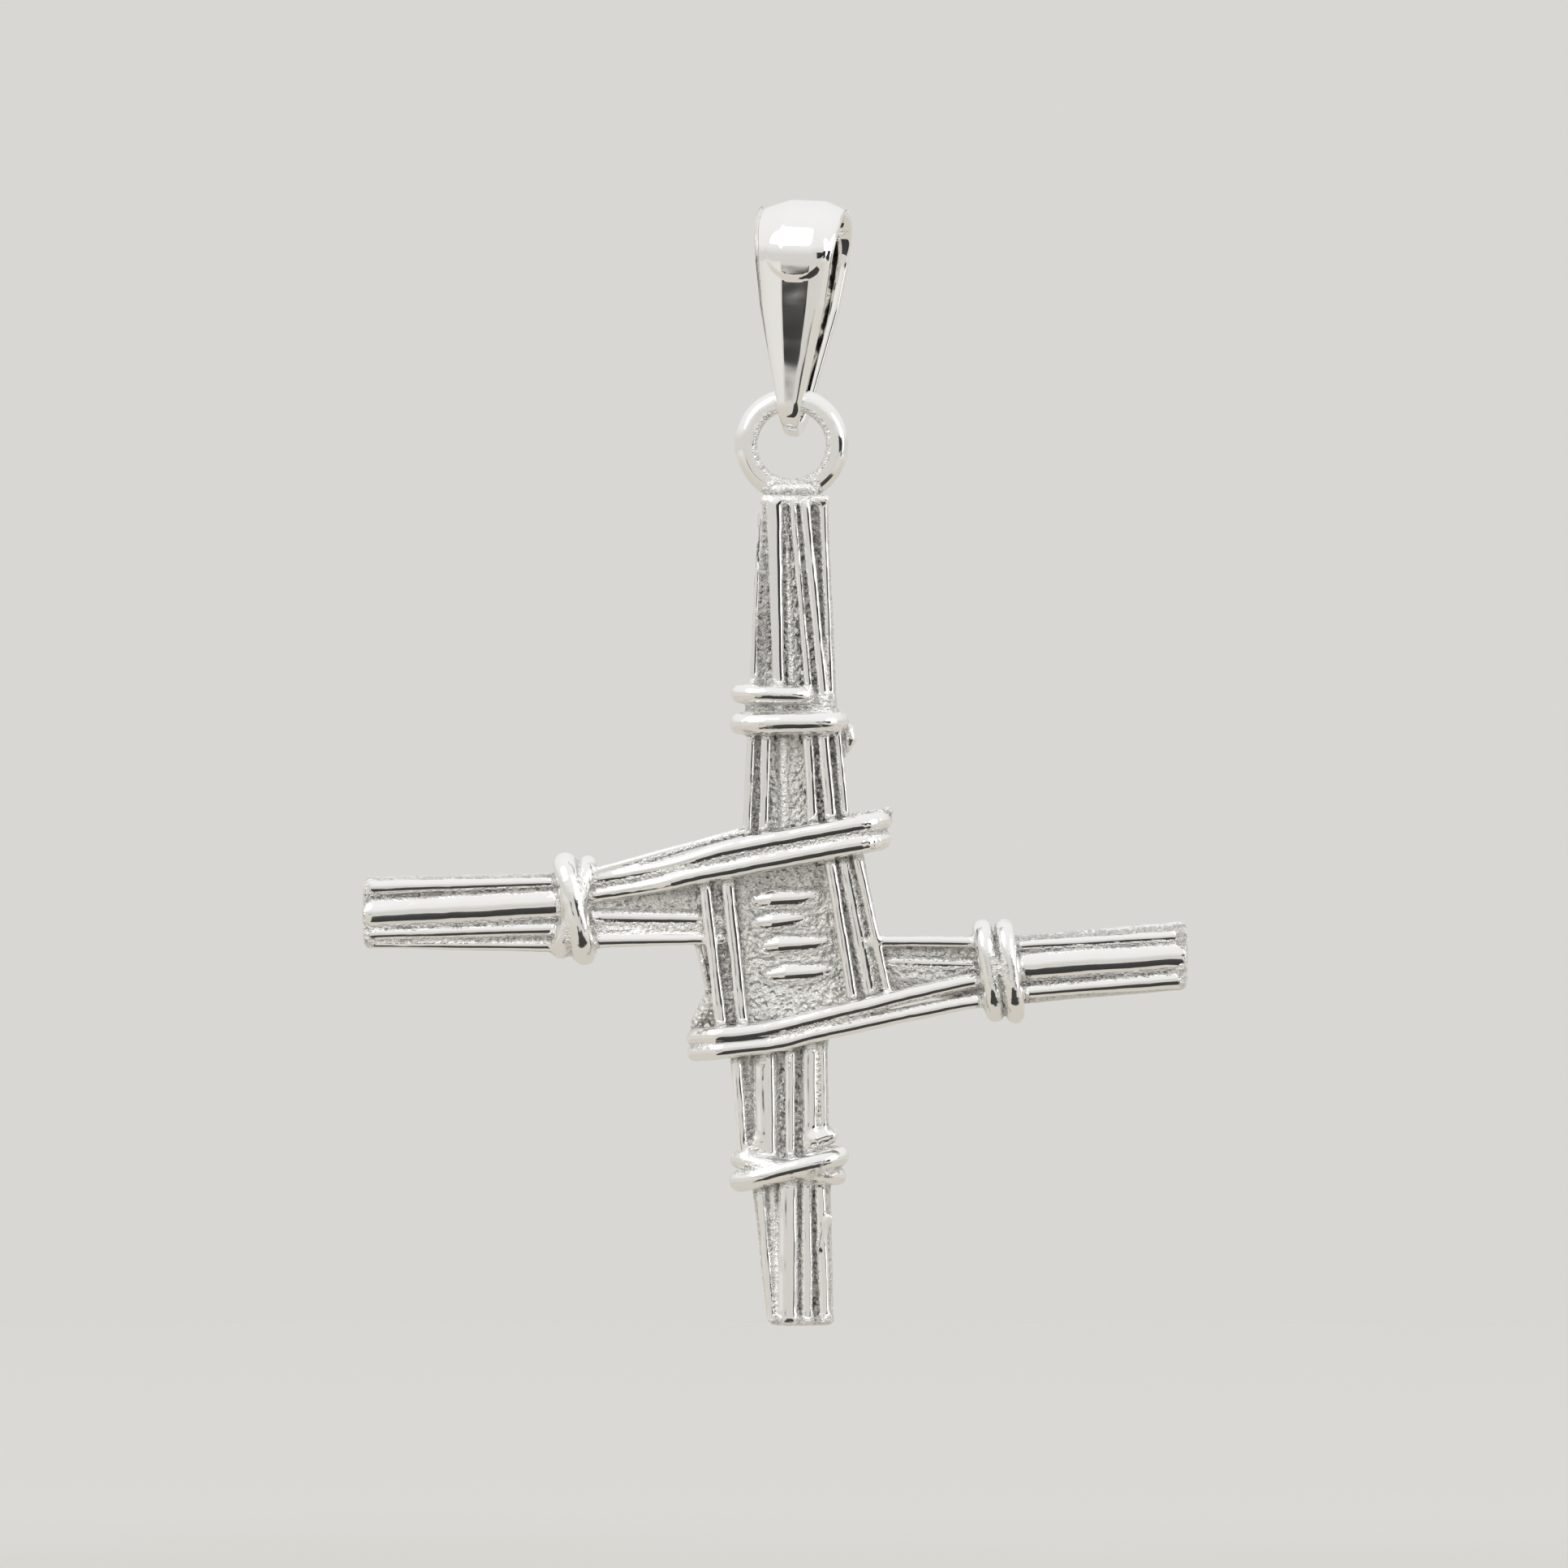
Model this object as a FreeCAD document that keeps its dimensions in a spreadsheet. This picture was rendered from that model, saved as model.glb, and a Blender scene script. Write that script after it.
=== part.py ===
import FreeCAD
import Part
import Sketcher
import math
import os

# A cast silver pendant in the form of a woven rush cross, in millimetres. It hangs upright: +Z is up,
# +X is to the right as the front is seen, and the front faces -Y. The origin is the chain seat, the
# inside top of the bail. The cross is laid out about the middle of its crossing, "reach" is a distance
# from there along an arm, and "shift" is a distance across it, to the right or upwards.

# Driving sizes: alias, value in millimetres or degrees, meaning
SIZES = [
    ("bail_reach", 5.85, "chain seat down to the middle of the foot eye"),
    ("bail_top_bore", 1.35, "inner radius of the loop at the chain"),
    ("bail_foot_bore", 0.7, "inner radius of the loop at the foot"),
    ("bail_strip", 0.52, "thickness of the strip"),
    ("bail_shoulder_width", 2.95, "width of the strip at its top"),
    ("bail_waist_width", 2.1, "width of the strip half way down"),
    ("bail_waist_drop", 2.93, "chain seat down to the place of that width"),
    ("bail_foot_width", 0.4, "width of the strip at its lowest point"),
    ("bail_facet_share", 0.4, "width of the front facet as a share of the strip"),
    ("bail_bevel_share", 0.1, "how far the front edges lie behind the facet, as a share of the strip"),
    ("bail_shoulder_round", 0.8, "rounding of the two shoulders"),
    ("bail_lean", 3.0, "sideways lean of the bail"),
    ("bail_turn", -10.0, "turn of the bail about the vertical"),
    ("ring_radius", 1.47, "radius of the middle of the hanging ring's wire"),
    ("ring_wire", 0.35, "radius of the ring's wire"),
    ("ring_offset", 0.1, "how far the bail hangs to the right of the ring's middle"),
    ("ring_seat", 0.23, "top arm's end up to the middle of the ring's wire"),
    ("crossing_offset", 0.17, "middle of the crossing, to the right of the ring's middle"),
    ("neck_width", 1.95, "width of the shoulder between the ring and the top arm"),
    ("neck_top_width", 1.1, "width of that shoulder where it meets the ring"),
    ("neck_depth", 1.2, "depth of that shoulder, front to back"),
    ("neck_rise", 0.3, "how far that shoulder rises over the top arm"),
    ("arm_depth", 1.9, "front to back over the reeds of an arm"),
    ("groove_depth", 0.26, "depth of the grooves between the reeds"),
    ("edge_reed", 0.42, "radius of the reeds along the sides of the arms"),
    ("fine_reed", 0.17, "radius of a fine reed"),
    ("plain_reed", 0.25, "radius of an ordinary reed"),
    ("broad_reed", 0.38, "radius of a broad reed"),
    ("end_allowance", 0.2, "extra length that is trimmed off each arm's end"),
    ("top_reach", 14.2, "end of the top arm"),
    ("top_end_shift", -0.05, "middle of the top arm at its end"),
    ("top_end_width", 2.0, "width of the top arm at its end"),
    ("top_tie_reach", 7.17, "tie of the top arm"),
    ("top_tie_shift", -0.15, "middle of the top arm at its tie"),
    ("top_tie_width", 2.9, "width of the top arm at its tie"),
    ("top_root_reach", 2.6, "root of the top arm"),
    ("top_root_shift", -0.15, "middle of the top arm at its root"),
    ("top_root_width", 3.1, "width of the top arm at its root"),
    ("bottom_reach", 12.26, "end of the bottom arm"),
    ("bottom_end_shift", 0.09, "middle of the bottom arm at its end"),
    ("bottom_end_width", 2.05, "width of the bottom arm at its end"),
    ("bottom_tie_reach", 7.12, "tie of the bottom arm"),
    ("bottom_tie_shift", -0.34, "middle of the bottom arm at its tie"),
    ("bottom_tie_width", 2.6, "width of the bottom arm at its tie"),
    ("bottom_root_reach", 2.9, "root of the bottom arm"),
    ("bottom_root_shift", -0.68, "middle of the bottom arm at its root"),
    ("bottom_root_width", 3.06, "width of the bottom arm at its root"),
    ("left_reach", 13.87, "end of the left arm"),
    ("left_end_shift", 0.83, "middle of the left arm at its end"),
    ("left_end_width", 2.0, "width of the left arm at its end"),
    ("left_tie_reach", 7.19, "tie of the left arm"),
    ("left_tie_shift", 1.01, "middle of the left arm at its tie"),
    ("left_tie_width", 2.44, "width of the left arm at its tie"),
    ("left_root_reach", 2.7, "root of the left arm"),
    ("left_root_shift", 0.9, "middle of the left arm at its root"),
    ("left_root_width", 1.7, "width of the left arm at its root"),
    ("right_reach", 12.47, "end of the right arm"),
    ("right_end_shift", -0.44, "middle of the right arm at its end"),
    ("right_end_width", 2.05, "width of the right arm at its end"),
    ("right_tie_reach", 6.39, "tie of the right arm"),
    ("right_tie_shift", -0.99, "middle of the right arm at its tie"),
    ("right_tie_width", 2.2, "width of the right arm at its tie"),
    ("right_root_reach", 2.7, "root of the right arm"),
    ("right_root_shift", -0.8, "middle of the right arm at its root"),
    ("right_root_width", 1.9, "width of the right arm at its root"),
    ("post_width", 1.25, "width of the two upright bundles of the crossing"),
    ("left_post_top", 1.9, "top of the left upright bundle"),
    ("left_post_top_shift", -2.55, "middle of the left upright bundle at its top"),
    ("left_post_foot", 3.4, "foot of the left upright bundle"),
    ("left_post_foot_shift", -1.85, "middle of the left upright bundle at its foot"),
    ("right_post_top_shift", 0.62, "middle of the right upright bundle where it enters the top tie"),
    ("right_post_foot", 2.3, "foot of the right upright bundle"),
    ("right_post_foot_shift", 2.6, "middle of the right upright bundle at its foot"),
    ("band_reed", 0.33, "radius of the two reeds of each slanting band"),
    ("band_pitch", 0.58, "distance between the two reeds of a band at its fold"),
    ("band_tail_pitch", 0.48, "distance between the two reeds of a band at the tie"),
    ("band_depth", 1.05, "distance of a band's reeds in front of and behind the mid plane"),
    ("upper_band_fold_reach", 1.75, "start of the upper band's fold"),
    ("upper_band_fold_shift", 3.38, "height of the upper band at its fold"),
    ("upper_band_tail_shift", 1.6, "height of the upper band at the left tie"),
    ("lower_band_fold_reach", 2.35, "start of the lower band's fold"),
    ("lower_band_fold_shift", -3.26, "height of the lower band at its fold"),
    ("lower_band_tail_shift", -1.5, "height of the lower band at the right tie"),
    ("field_top", 2.3, "top of the sunk field"),
    ("field_foot", 2.3, "foot of the sunk field"),
    ("field_depth", 1.1, "front to back over the sunk field of the crossing"),
    ("ridge_radius", 0.26, "half the height of the short reeds in the field"),
    ("ridge_length", 2.1, "length of the short reeds in the field"),
    ("ridge_pitch", 0.79, "distance between the short reeds in the field"),
    ("tie_wire", 0.3, "radius of a tie's cord"),
    ("tie_stand", 0.1, "how far the middle of the cord stands off the arm"),
    ("tie_pitch", 0.95, "distance between the two turns of a tie"),
    ("tie_bed", 0.04, "how far the bed under a tie stands over the reeds"),
    ("tie_joint", 0.08, "gap between an arm's outer and inner reeds, inside the bed"),
    ("knot_radius", 0.36, "radius of the knots on the ties"),
]

FACES = (-1, 1)  # front and back

# Reeds of each bundle: place across the first and the second station, as a share of the width there,
# and kind
TOP_OUTER = [(-0.42, -0.42, "fine_reed"), (-0.22, -0.24, "plain_reed"), (0.1, -0.02, "fine_reed"),
             (0.28, 0.17, "plain_reed"), (0.43, 0.41, "fine_reed")]
TOP_INNER = [(-0.43, -0.43, "fine_reed"), (-0.24, -0.24, "plain_reed"), (0.06, 0.0, "fine_reed")]
BOTTOM_OUTER = [(-0.41, -0.42, "fine_reed"), (-0.14, -0.05, "broad_reed"), (0.22, 0.27, "plain_reed"),
                (0.42, 0.42, "fine_reed")]
BOTTOM_INNER = [(-0.41, -0.4, "fine_reed"), (-0.15, -0.18, "plain_reed"), (0.12, 0.1, "plain_reed"),
                (0.39, 0.36, "fine_reed")]
LEFT_OUTER = [(-0.39, -0.4, "fine_reed"), (0.0, 0.03, "broad_reed"), (0.34, 0.38, "plain_reed")]
LEFT_INNER = [(-0.4, -0.35, "fine_reed"), (-0.18, -0.05, "fine_reed")]
RIGHT_INNER = [(0.12, 0.16, "fine_reed"), (0.38, 0.4, "plain_reed")]
RIGHT_OUTER = [(-0.38, -0.36, "plain_reed"), (0.0, 0.02, "broad_reed"), (0.38, 0.4, "fine_reed")]
POST = [(-0.3, -0.3, "plain_reed"), (0.1, 0.1, "plain_reed"), (0.38, 0.38, "fine_reed")]

REED_TAPER = 0.98  # a reed's far end as a share of its near one
CORD_TAPER = 0.9  # the same for a cord that crosses a tie
CROSSING_PART = 3  # that cord's ends lie this part of the arm's width from the arm's middle
RIDGE_ROWS = (-1.25, -0.15, 0.85, 1.75)  # heights of the short reeds, in steps of their pitch
RIDGE_TILT = 3  # degrees, the short reeds rise a little to the right
TIE_ROWS = (0.5, -0.5)  # the outer and the inner turn of a tie, in steps of their pitch
TOP_TILTS = (2, -1)  # degrees, the slant of a tie's outer and inner turn
BOTTOM_TILTS = (-9, -13)
LEFT_TILTS = (2, -3)
RIGHT_TILTS = (-2, -3)
TOP_KNOT_DROP = 0.7  # the top knot below the middle of its tie, in steps of the turns' pitch
BOTTOM_KNOT_RISE = 0.25  # the bottom knot above the middle of its tie, in the same steps
NECK_TOP_PART = 0.7  # half depth of the shoulder's top as a share of the ring's wire
BLANK_EXCESS = 1.5  # the strip before it is cut, as a multiple of its width at the top
SAME = 1e-6  # two lengths this close count as one

STOOD_UP = FreeCAD.Rotation(FreeCAD.Vector(1, 0, 0), 90)  # length along +Z, depth along Y
LAID_LEVEL = FreeCAD.Rotation(FreeCAD.Vector(1, 1, 1), 240)  # length along +X, depth along Y


def make_sheet(doc):
    """Puts the driving sizes into a spreadsheet, with a name for each cell."""
    sheet = doc.addObject("Spreadsheet::Sheet", "Sizes")
    for row, (alias, value, meaning) in enumerate(SIZES, start=1):
        sheet.set(f"A{row}", alias)
        sheet.set(f"B{row}", str(value))
        sheet.set(f"C{row}", meaning)
        sheet.setAlias(f"B{row}", alias)
    doc.recompute()


def cell(alias):
    """The expression for a cell of the sheet."""
    return f"Sizes.{alias}"


def bind(thing, **expressions):
    """Ties properties to expressions on the sheet. A double underscore stands for a dot."""
    for name, expression in expressions.items():
        thing.setExpression(name.replace("__", "."), expression)


def station(reach, shift, width, sign=1, extra="0"):
    """A place on an arm: its reach, the arm's middle there and the arm's width there."""
    return f"({sign}) * ({cell(reach)} + {extra})", cell(shift), cell(width)


def add_reed(doc, name, start, end, depth, radii):
    """A straight tapered reed: a cone between two points (x, z), at one distance along Y."""
    (x_start, z_start), (x_end, z_end) = start, end
    run = f"(({x_end}) - ({x_start}))"
    rise = f"(({z_end}) - ({z_start}))"
    reed = doc.addObject("Part::Cone", name)
    reed.Placement.Rotation = FreeCAD.Rotation(FreeCAD.Vector(0, 1, 0), 1)
    bind(
        reed,
        Radius1=radii[0],
        Radius2=radii[1],
        Height=f"hypot({run}; {rise})",
        Placement__Base__x=x_start,
        Placement__Base__y=depth,
        Placement__Base__z=z_start,
        Placement__Rotation__Angle=f"90deg - atan2({rise}; {run})",
    )
    return reed


def point(upright, along, middle, width, share):
    """The point (x, z) at a share of the width across a station."""
    across = f"{middle} + ({share}) * {width}"
    return (across, along) if upright else (along, across)


def add_core(doc, name, upright, low, high):
    """The web that carries a bundle's reeds: a tapered bar as deep as the floors of the grooves."""
    core = doc.addObject("Part::Wedge", name)
    half = f"({cell('arm_depth')} / 2 - {cell('groove_depth')})"
    inset = f"{cell('edge_reed')} / 2"
    bind(
        core,
        Ymin=low[0],
        Ymax=high[0],
        Xmin=f"{low[1]} - {low[2]} / 2 + {inset}",
        Xmax=f"{low[1]} + {low[2]} / 2 - {inset}",
        X2min=f"{high[1]} - {high[2]} / 2 + {inset}",
        X2max=f"{high[1]} + {high[2]} / 2 - {inset}",
        Zmin=f"-{half}",
        Z2min=f"-{half}",
        Zmax=half,
        Z2max=half,
    )
    core.Placement.Rotation = STOOD_UP if upright else LAID_LEVEL
    return core


def add_bundle(doc, name, upright, low, high, reeds):
    """A bundle between two stations: its web, a reed along each side, and rows front and back."""
    made = [add_core(doc, f"{name}_core", upright, low, high)]
    edge = cell("edge_reed")
    for side in (-1, 1):
        ends = []
        for along, middle, width in (low, high):
            across = f"{middle} + ({side}) * ({width} / 2 - {edge})"
            ends.append((across, along) if upright else (along, across))
        made.append(add_reed(doc, f"{name}_edge", *ends, "0", (edge, f"{edge} * {REED_TAPER}")))
    for share_low, share_high, kind in reeds:
        radius = cell(kind)
        radii = (radius, f"{radius} * {REED_TAPER}")
        start = point(upright, *low, share_low)
        end = point(upright, *high, share_high)
        for face in FACES:
            depth = f"({face}) * ({cell('arm_depth')} / 2 - {radius})"
            made.append(add_reed(doc, f"{name}_reed", start, end, depth, radii))
    return made


def add_arm(doc, name, upright, sign, outer, inner):
    """An arm: an outer and an inner bundle, which meet in the bed under the tie."""
    gap = f"{cell('tie_joint')} / 2"
    end = station(f"{name}_reach", f"{name}_end_shift", f"{name}_end_width", sign, cell("end_allowance"))
    over = station(f"{name}_tie_reach", f"{name}_tie_shift", f"{name}_tie_width", sign, gap)
    under = station(f"{name}_tie_reach", f"{name}_tie_shift", f"{name}_tie_width", sign, f"-{gap}")
    root = station(f"{name}_root_reach", f"{name}_root_shift", f"{name}_root_width", sign)
    rows = [(f"{name}_outer", over, end, outer), (f"{name}_inner", root, under, inner)]
    if sign < 0:
        rows = [(label, far, near, reeds) for label, near, far, reeds in rows]
    made = []
    for label, low, high, reeds in rows:
        made += add_bundle(doc, label, upright, low, high, reeds)
    bed = doc.addObject("Part::Box", f"{name}_bed")
    tall, wide = cell("tie_pitch"), f"({cell(name + '_tie_width')} + 2 * {cell('tie_bed')})"
    deep = f"({cell('arm_depth')} + 2 * {cell('tie_bed')})"
    across = f"{cell(name + '_tie_shift')} - {wide} / 2"
    along = f"({sign}) * {cell(name + '_tie_reach')} - {tall} / 2"
    bind(
        bed,
        Length=wide if upright else tall,
        Width=deep,
        Height=tall if upright else wide,
        Placement__Base__x=across if upright else along,
        Placement__Base__y=f"-{deep} / 2",
        Placement__Base__z=along if upright else across,
    )
    return made + [bed]


def add_arms(doc):
    """The four arms."""
    return (
        add_arm(doc, "top", True, 1, TOP_OUTER, TOP_INNER)
        + add_arm(doc, "bottom", True, -1, BOTTOM_OUTER, BOTTOM_INNER)
        + add_arm(doc, "left", False, -1, LEFT_OUTER, LEFT_INNER)
        + add_arm(doc, "right", False, 1, RIGHT_OUTER, RIGHT_INNER)
    )


def add_posts(doc):
    """The two upright bundles that run past the sunk field of the crossing."""
    left_foot = station("left_post_foot", "left_post_foot_shift", "post_width", -1)
    left_top = station("left_post_top", "left_post_top_shift", "post_width")
    right_foot = station("right_post_foot", "right_post_foot_shift", "post_width", -1)
    right_top = station("top_tie_reach", "right_post_top_shift", "post_width")
    return (
        add_bundle(doc, "left_post", True, left_foot, left_top, POST)
        + add_bundle(doc, "right_post", True, right_foot, right_top, POST)
    )


def add_path(doc, name, span, radius, closed):
    """A path for a cord: a stadium about the middle, or a U that is folded at its right end."""
    path = doc.addObject("Sketcher::SketchObject", f"{name}_path")
    # First guesses, which the constraints' expressions replace
    bend, reach, up = 1.0, 2.0, FreeCAD.Vector(0, 0, 1)
    near = reach if closed else 0.0
    right = path.addGeometry(Part.ArcOfCircle(
        Part.Circle(FreeCAD.Vector(near, 0, 0), up, bend), -math.pi / 2, math.pi / 2), False)
    front = path.addGeometry(Part.LineSegment(
        FreeCAD.Vector(-reach, -bend, 0), FreeCAD.Vector(near, -bend, 0)), False)
    back = path.addGeometry(Part.LineSegment(
        FreeCAD.Vector(-reach, bend, 0), FreeCAD.Vector(near, bend, 0)), False)
    add = path.addConstraint
    add(Sketcher.Constraint("Tangent", front, 2, right, 1))
    add(Sketcher.Constraint("Tangent", back, 2, right, 2))
    add(Sketcher.Constraint("Horizontal", front))
    path.renameConstraint(add(Sketcher.Constraint("Radius", right, bend)), "bend")
    if closed:
        left = path.addGeometry(Part.ArcOfCircle(
            Part.Circle(FreeCAD.Vector(-reach, 0, 0), up, bend), math.pi / 2, 3 * math.pi / 2), False)
        add(Sketcher.Constraint("Tangent", back, 1, left, 1))
        add(Sketcher.Constraint("Tangent", front, 1, left, 2))
        add(Sketcher.Constraint("PointOnObject", right, 3, -1))
        add(Sketcher.Constraint("PointOnObject", left, 3, -1))
        path.renameConstraint(add(Sketcher.Constraint("DistanceX", -1, 1, right, 3, reach)), "span")
        path.renameConstraint(add(Sketcher.Constraint("DistanceX", left, 3, -1, 1, reach)), "far_span")
        path.setExpression("Constraints.far_span", span)
    else:
        add(Sketcher.Constraint("Coincident", right, 3, -1, 1))
        add(Sketcher.Constraint("Horizontal", back))
        add(Sketcher.Constraint("Equal", front, back))
        path.renameConstraint(add(Sketcher.Constraint("DistanceX", front, 1, front, 2, reach)), "span")
    path.setExpression("Constraints.span", span)
    path.setExpression("Constraints.bend", radius)
    return path


def add_cord(doc, name, path, section_x, section_y, radius):
    """A round cord swept along a path, from a circle that stands across it."""
    section = doc.addObject("Part::Circle", f"{name}_section")
    section.Placement.Rotation = FreeCAD.Rotation(FreeCAD.Vector(0, 1, 0), 90)
    bind(section, Radius=radius, Placement__Base__x=section_x, Placement__Base__y=section_y)
    cord = doc.addObject("Part::Sweep", name)
    cord.Sections = [section]
    cord.Spine = (path, [f"Edge{number + 1}" for number in range(path.GeometryCount)])
    cord.Solid = True
    return cord


def add_band(doc, name, side, tail_reach):
    """A slanting band of two reeds, each folded round the crossing at its side (1 right, -1 left)."""
    reach = f"({side}) * {cell(name + '_fold_reach')}"
    tail = f"({-side}) * {cell(tail_reach)}"
    made = []
    for row in (-0.5, 0.5):
        fold_z = f"({cell(name + '_fold_shift')} + ({row}) * {cell('band_pitch')})"
        tail_z = f"({cell(name + '_tail_shift')} + ({row}) * {cell('band_tail_pitch')})"
        run, rise = f"abs({reach} - ({tail}))", f"({fold_z} - {tail_z})"
        length = f"hypot({run}; {rise})"
        depth = cell("band_depth")
        path = add_path(doc, name, length, depth, False)
        reed = add_cord(doc, f"{name}_reed", path, f"-{length}", f"-{depth}", cell("band_reed"))
        turn = f"create(<<rotation>>; {90 - 90 * side}; -atan2({rise}; {run}); 0)"
        bind(reed, Placement=f"create(<<placement>>; create(<<vector>>; {reach}; 0; {fold_z}); {turn})")
        made.append(reed)
    return made


def post_middle(side, along):
    """The expression for an upright bundle's middle at a height."""
    top = cell("top_tie_reach" if side == "right" else "left_post_top")
    foot = cell(f"{side}_post_foot")
    top_x, foot_x = cell(f"{side}_post_top_shift"), cell(f"{side}_post_foot_shift")
    return f"({foot_x} + ({top_x} - {foot_x}) * (({along}) + {foot}) / ({top} + {foot}))"


def add_field(doc):
    """The sunk field of the crossing, with four short reeds lying across it, front and back."""
    low, high = f"(-{cell('field_foot')})", cell("field_top")
    half = f"{cell('field_depth')} / 2"
    field = doc.addObject("Part::Wedge", "field")
    bind(
        field,
        Ymin=low,
        Ymax=high,
        Xmin=post_middle("left", low),
        Xmax=post_middle("right", low),
        X2min=post_middle("left", high),
        X2max=post_middle("right", high),
        Zmin=f"-{half}",
        Z2min=f"-{half}",
        Zmax=half,
        Z2max=half,
    )
    field.Placement.Rotation = STOOD_UP
    made = [field]
    for row in RIDGE_ROWS:
        for face in FACES:
            ridge = doc.addObject("Part::Ellipsoid", "ridge")
            ridge.Placement.Rotation = FreeCAD.Rotation(FreeCAD.Vector(0, 1, 0), -RIDGE_TILT)
            bind(
                ridge,
                Radius1=cell("ridge_radius"),
                Radius2=f"{cell('ridge_length')} / 2",
                Radius3=cell("ridge_radius"),
                Placement__Base__y=f"({face}) * {half}",
                Placement__Base__z=f"({row}) * {cell('ridge_pitch')}",
            )
            made.append(ridge)
    return made


def add_turn(doc, name, upright, along, middle, width, tilt):
    """One turn of a tie's cord: a circle swept round a stadium that stands off the arm."""
    bend = f"({cell('arm_depth')} / 2 + {cell('tie_stand')})"
    span = f"({width} / 2 + {cell('tie_stand')} - {bend})"
    path = add_path(doc, name, span, bend, True)
    turn = add_cord(doc, name, path, span, f"-{bend}", cell("tie_wire"))
    turn.Placement.Rotation = FreeCAD.Rotation(FreeCAD.Vector(0, 1, 0), tilt if upright else 90 + tilt)
    x, z = (middle, along) if upright else (along, middle)
    bind(turn, Placement__Base__x=x, Placement__Base__z=z)
    return turn


def add_knot(doc, name, x, z):
    """A knot of a tie: a ball that stands out of the cord at the arm's side."""
    knot = doc.addObject("Part::Sphere", name)
    bind(knot, Radius=cell("knot_radius"), Placement__Base__x=x, Placement__Base__z=z)
    return knot


def tie_station(arm):
    """The reach of an arm's tie, and the arm's middle and width there."""
    return cell(f"{arm}_tie_reach"), cell(f"{arm}_tie_shift"), cell(f"{arm}_tie_width")


def add_crossing_cord(doc, arm, sign):
    """The cord that slants over the front of a level arm's tie."""
    reach, shift, width = tie_station(arm)
    cord = cell("tie_wire")
    outer = f"({sign}) * ({reach} + {cell('tie_pitch')} / 2)"
    inner = f"({sign}) * ({reach} - {cell('tie_pitch')} / 2)"
    start = (outer, f"{shift} - ({sign}) * {width} / {CROSSING_PART}")
    end = (inner, f"{shift} + ({sign}) * {width} / {CROSSING_PART}")
    front = f"-({cell('arm_depth')} / 2 + {cell('tie_stand')})"
    return add_reed(doc, f"{arm}_crossing_cord", start, end, front, (cord, f"{cord} * {CORD_TAPER}"))


def add_tie(doc, arm, upright, sign, tilts):
    """The two turns of an arm's tie, the outer one first."""
    reach, shift, width = tie_station(arm)
    made = []
    for row, tilt in zip(TIE_ROWS, tilts):
        along = f"({sign}) * ({reach} + ({row}) * {cell('tie_pitch')})"
        made.append(add_turn(doc, f"{arm}_turn", upright, along, shift, width, tilt))
    return made


def add_ties(doc):
    """The four ties with their crossing cords and knots."""
    stand, pitch, knot = cell("tie_stand"), cell("tie_pitch"), cell("knot_radius")
    top_reach, top_shift, top_width = tie_station("top")
    bottom_reach, bottom_shift, bottom_width = tie_station("bottom")
    return (
        add_tie(doc, "top", True, 1, TOP_TILTS)
        + add_tie(doc, "bottom", True, -1, BOTTOM_TILTS)
        + add_tie(doc, "left", False, -1, LEFT_TILTS)
        + add_tie(doc, "right", False, 1, RIGHT_TILTS)
        + [
            add_crossing_cord(doc, "left", -1),
            add_crossing_cord(doc, "right", 1),
            add_knot(doc, "top_knot", f"{top_shift} + {top_width} / 2 + {stand} + {knot} / 2",
                     f"{top_reach} - {pitch} * {TOP_KNOT_DROP}"),
            add_knot(doc, "bottom_knot", f"{bottom_shift} - {bottom_width} / 2 - {stand}",
                     f"-{bottom_reach} + {pitch} * {BOTTOM_KNOT_RISE}"),
        ]
    )


def fuse(doc, name, shapes):
    """One solid out of several objects."""
    union = doc.addObject("Part::MultiFuse", name)
    union.Shapes = shapes
    union.Refine = False
    return union


def add_trims(doc):
    """Four blocks that cut the arms' ends flat."""
    made = []
    block = f"({cell('top_root_width')} + {cell('arm_depth')})"
    arms = (("top", True, 1), ("bottom", True, -1), ("left", False, -1), ("right", False, 1))
    for arm, upright, sign in arms:
        trim = doc.addObject("Part::Box", f"{arm}_trim")
        start = f"({sign}) * {cell(arm + '_reach')}"
        near = start if sign > 0 else f"{start} - {block}"
        across = f"{cell(arm + '_end_shift')} - {block} / 2"
        x, z = (across, near) if upright else (near, across)
        bind(trim, Length=block, Width=block, Height=block, Placement__Base__x=x,
             Placement__Base__y=f"-{block} / 2", Placement__Base__z=z)
        made.append(trim)
    return made


def ring_height():
    """The expression for the ring's middle above the middle of the crossing."""
    return f"({cell('top_reach')} + {cell('ring_seat')} + {cell('ring_radius')})"


def add_ring(doc):
    """The ring on the top arm, and the shoulder that carries it."""
    ring = doc.addObject("Part::Torus", "ring")
    ring.Placement.Rotation = STOOD_UP
    bind(ring, Radius1=cell("ring_radius"), Radius2=cell("ring_wire"),
         Placement__Base__x=f"-{cell('crossing_offset')}", Placement__Base__z=ring_height())
    neck = doc.addObject("Part::Wedge", "neck")
    neck.Placement.Rotation = STOOD_UP
    middle = f"-{cell('crossing_offset')}"
    half = f"{cell('neck_depth')} / 2"
    bind(
        neck,
        Ymin=f"{cell('top_reach')} - {cell('neck_rise')}",
        Ymax=f"{cell('top_reach')} + {cell('neck_rise')}",
        Xmin=f"{cell('top_end_shift')} - {cell('neck_width')} / 2",
        Xmax=f"{cell('top_end_shift')} + {cell('neck_width')} / 2",
        X2min=f"{middle} - {cell('neck_top_width')} / 2",
        X2max=f"{middle} + {cell('neck_top_width')} / 2",
        Zmin=f"-{half}",
        Zmax=half,
        Z2min=f"-{cell('ring_wire')} * {NECK_TOP_PART}",
        Z2max=f"{cell('ring_wire')} * {NECK_TOP_PART}",
    )
    return [ring, neck]


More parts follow.
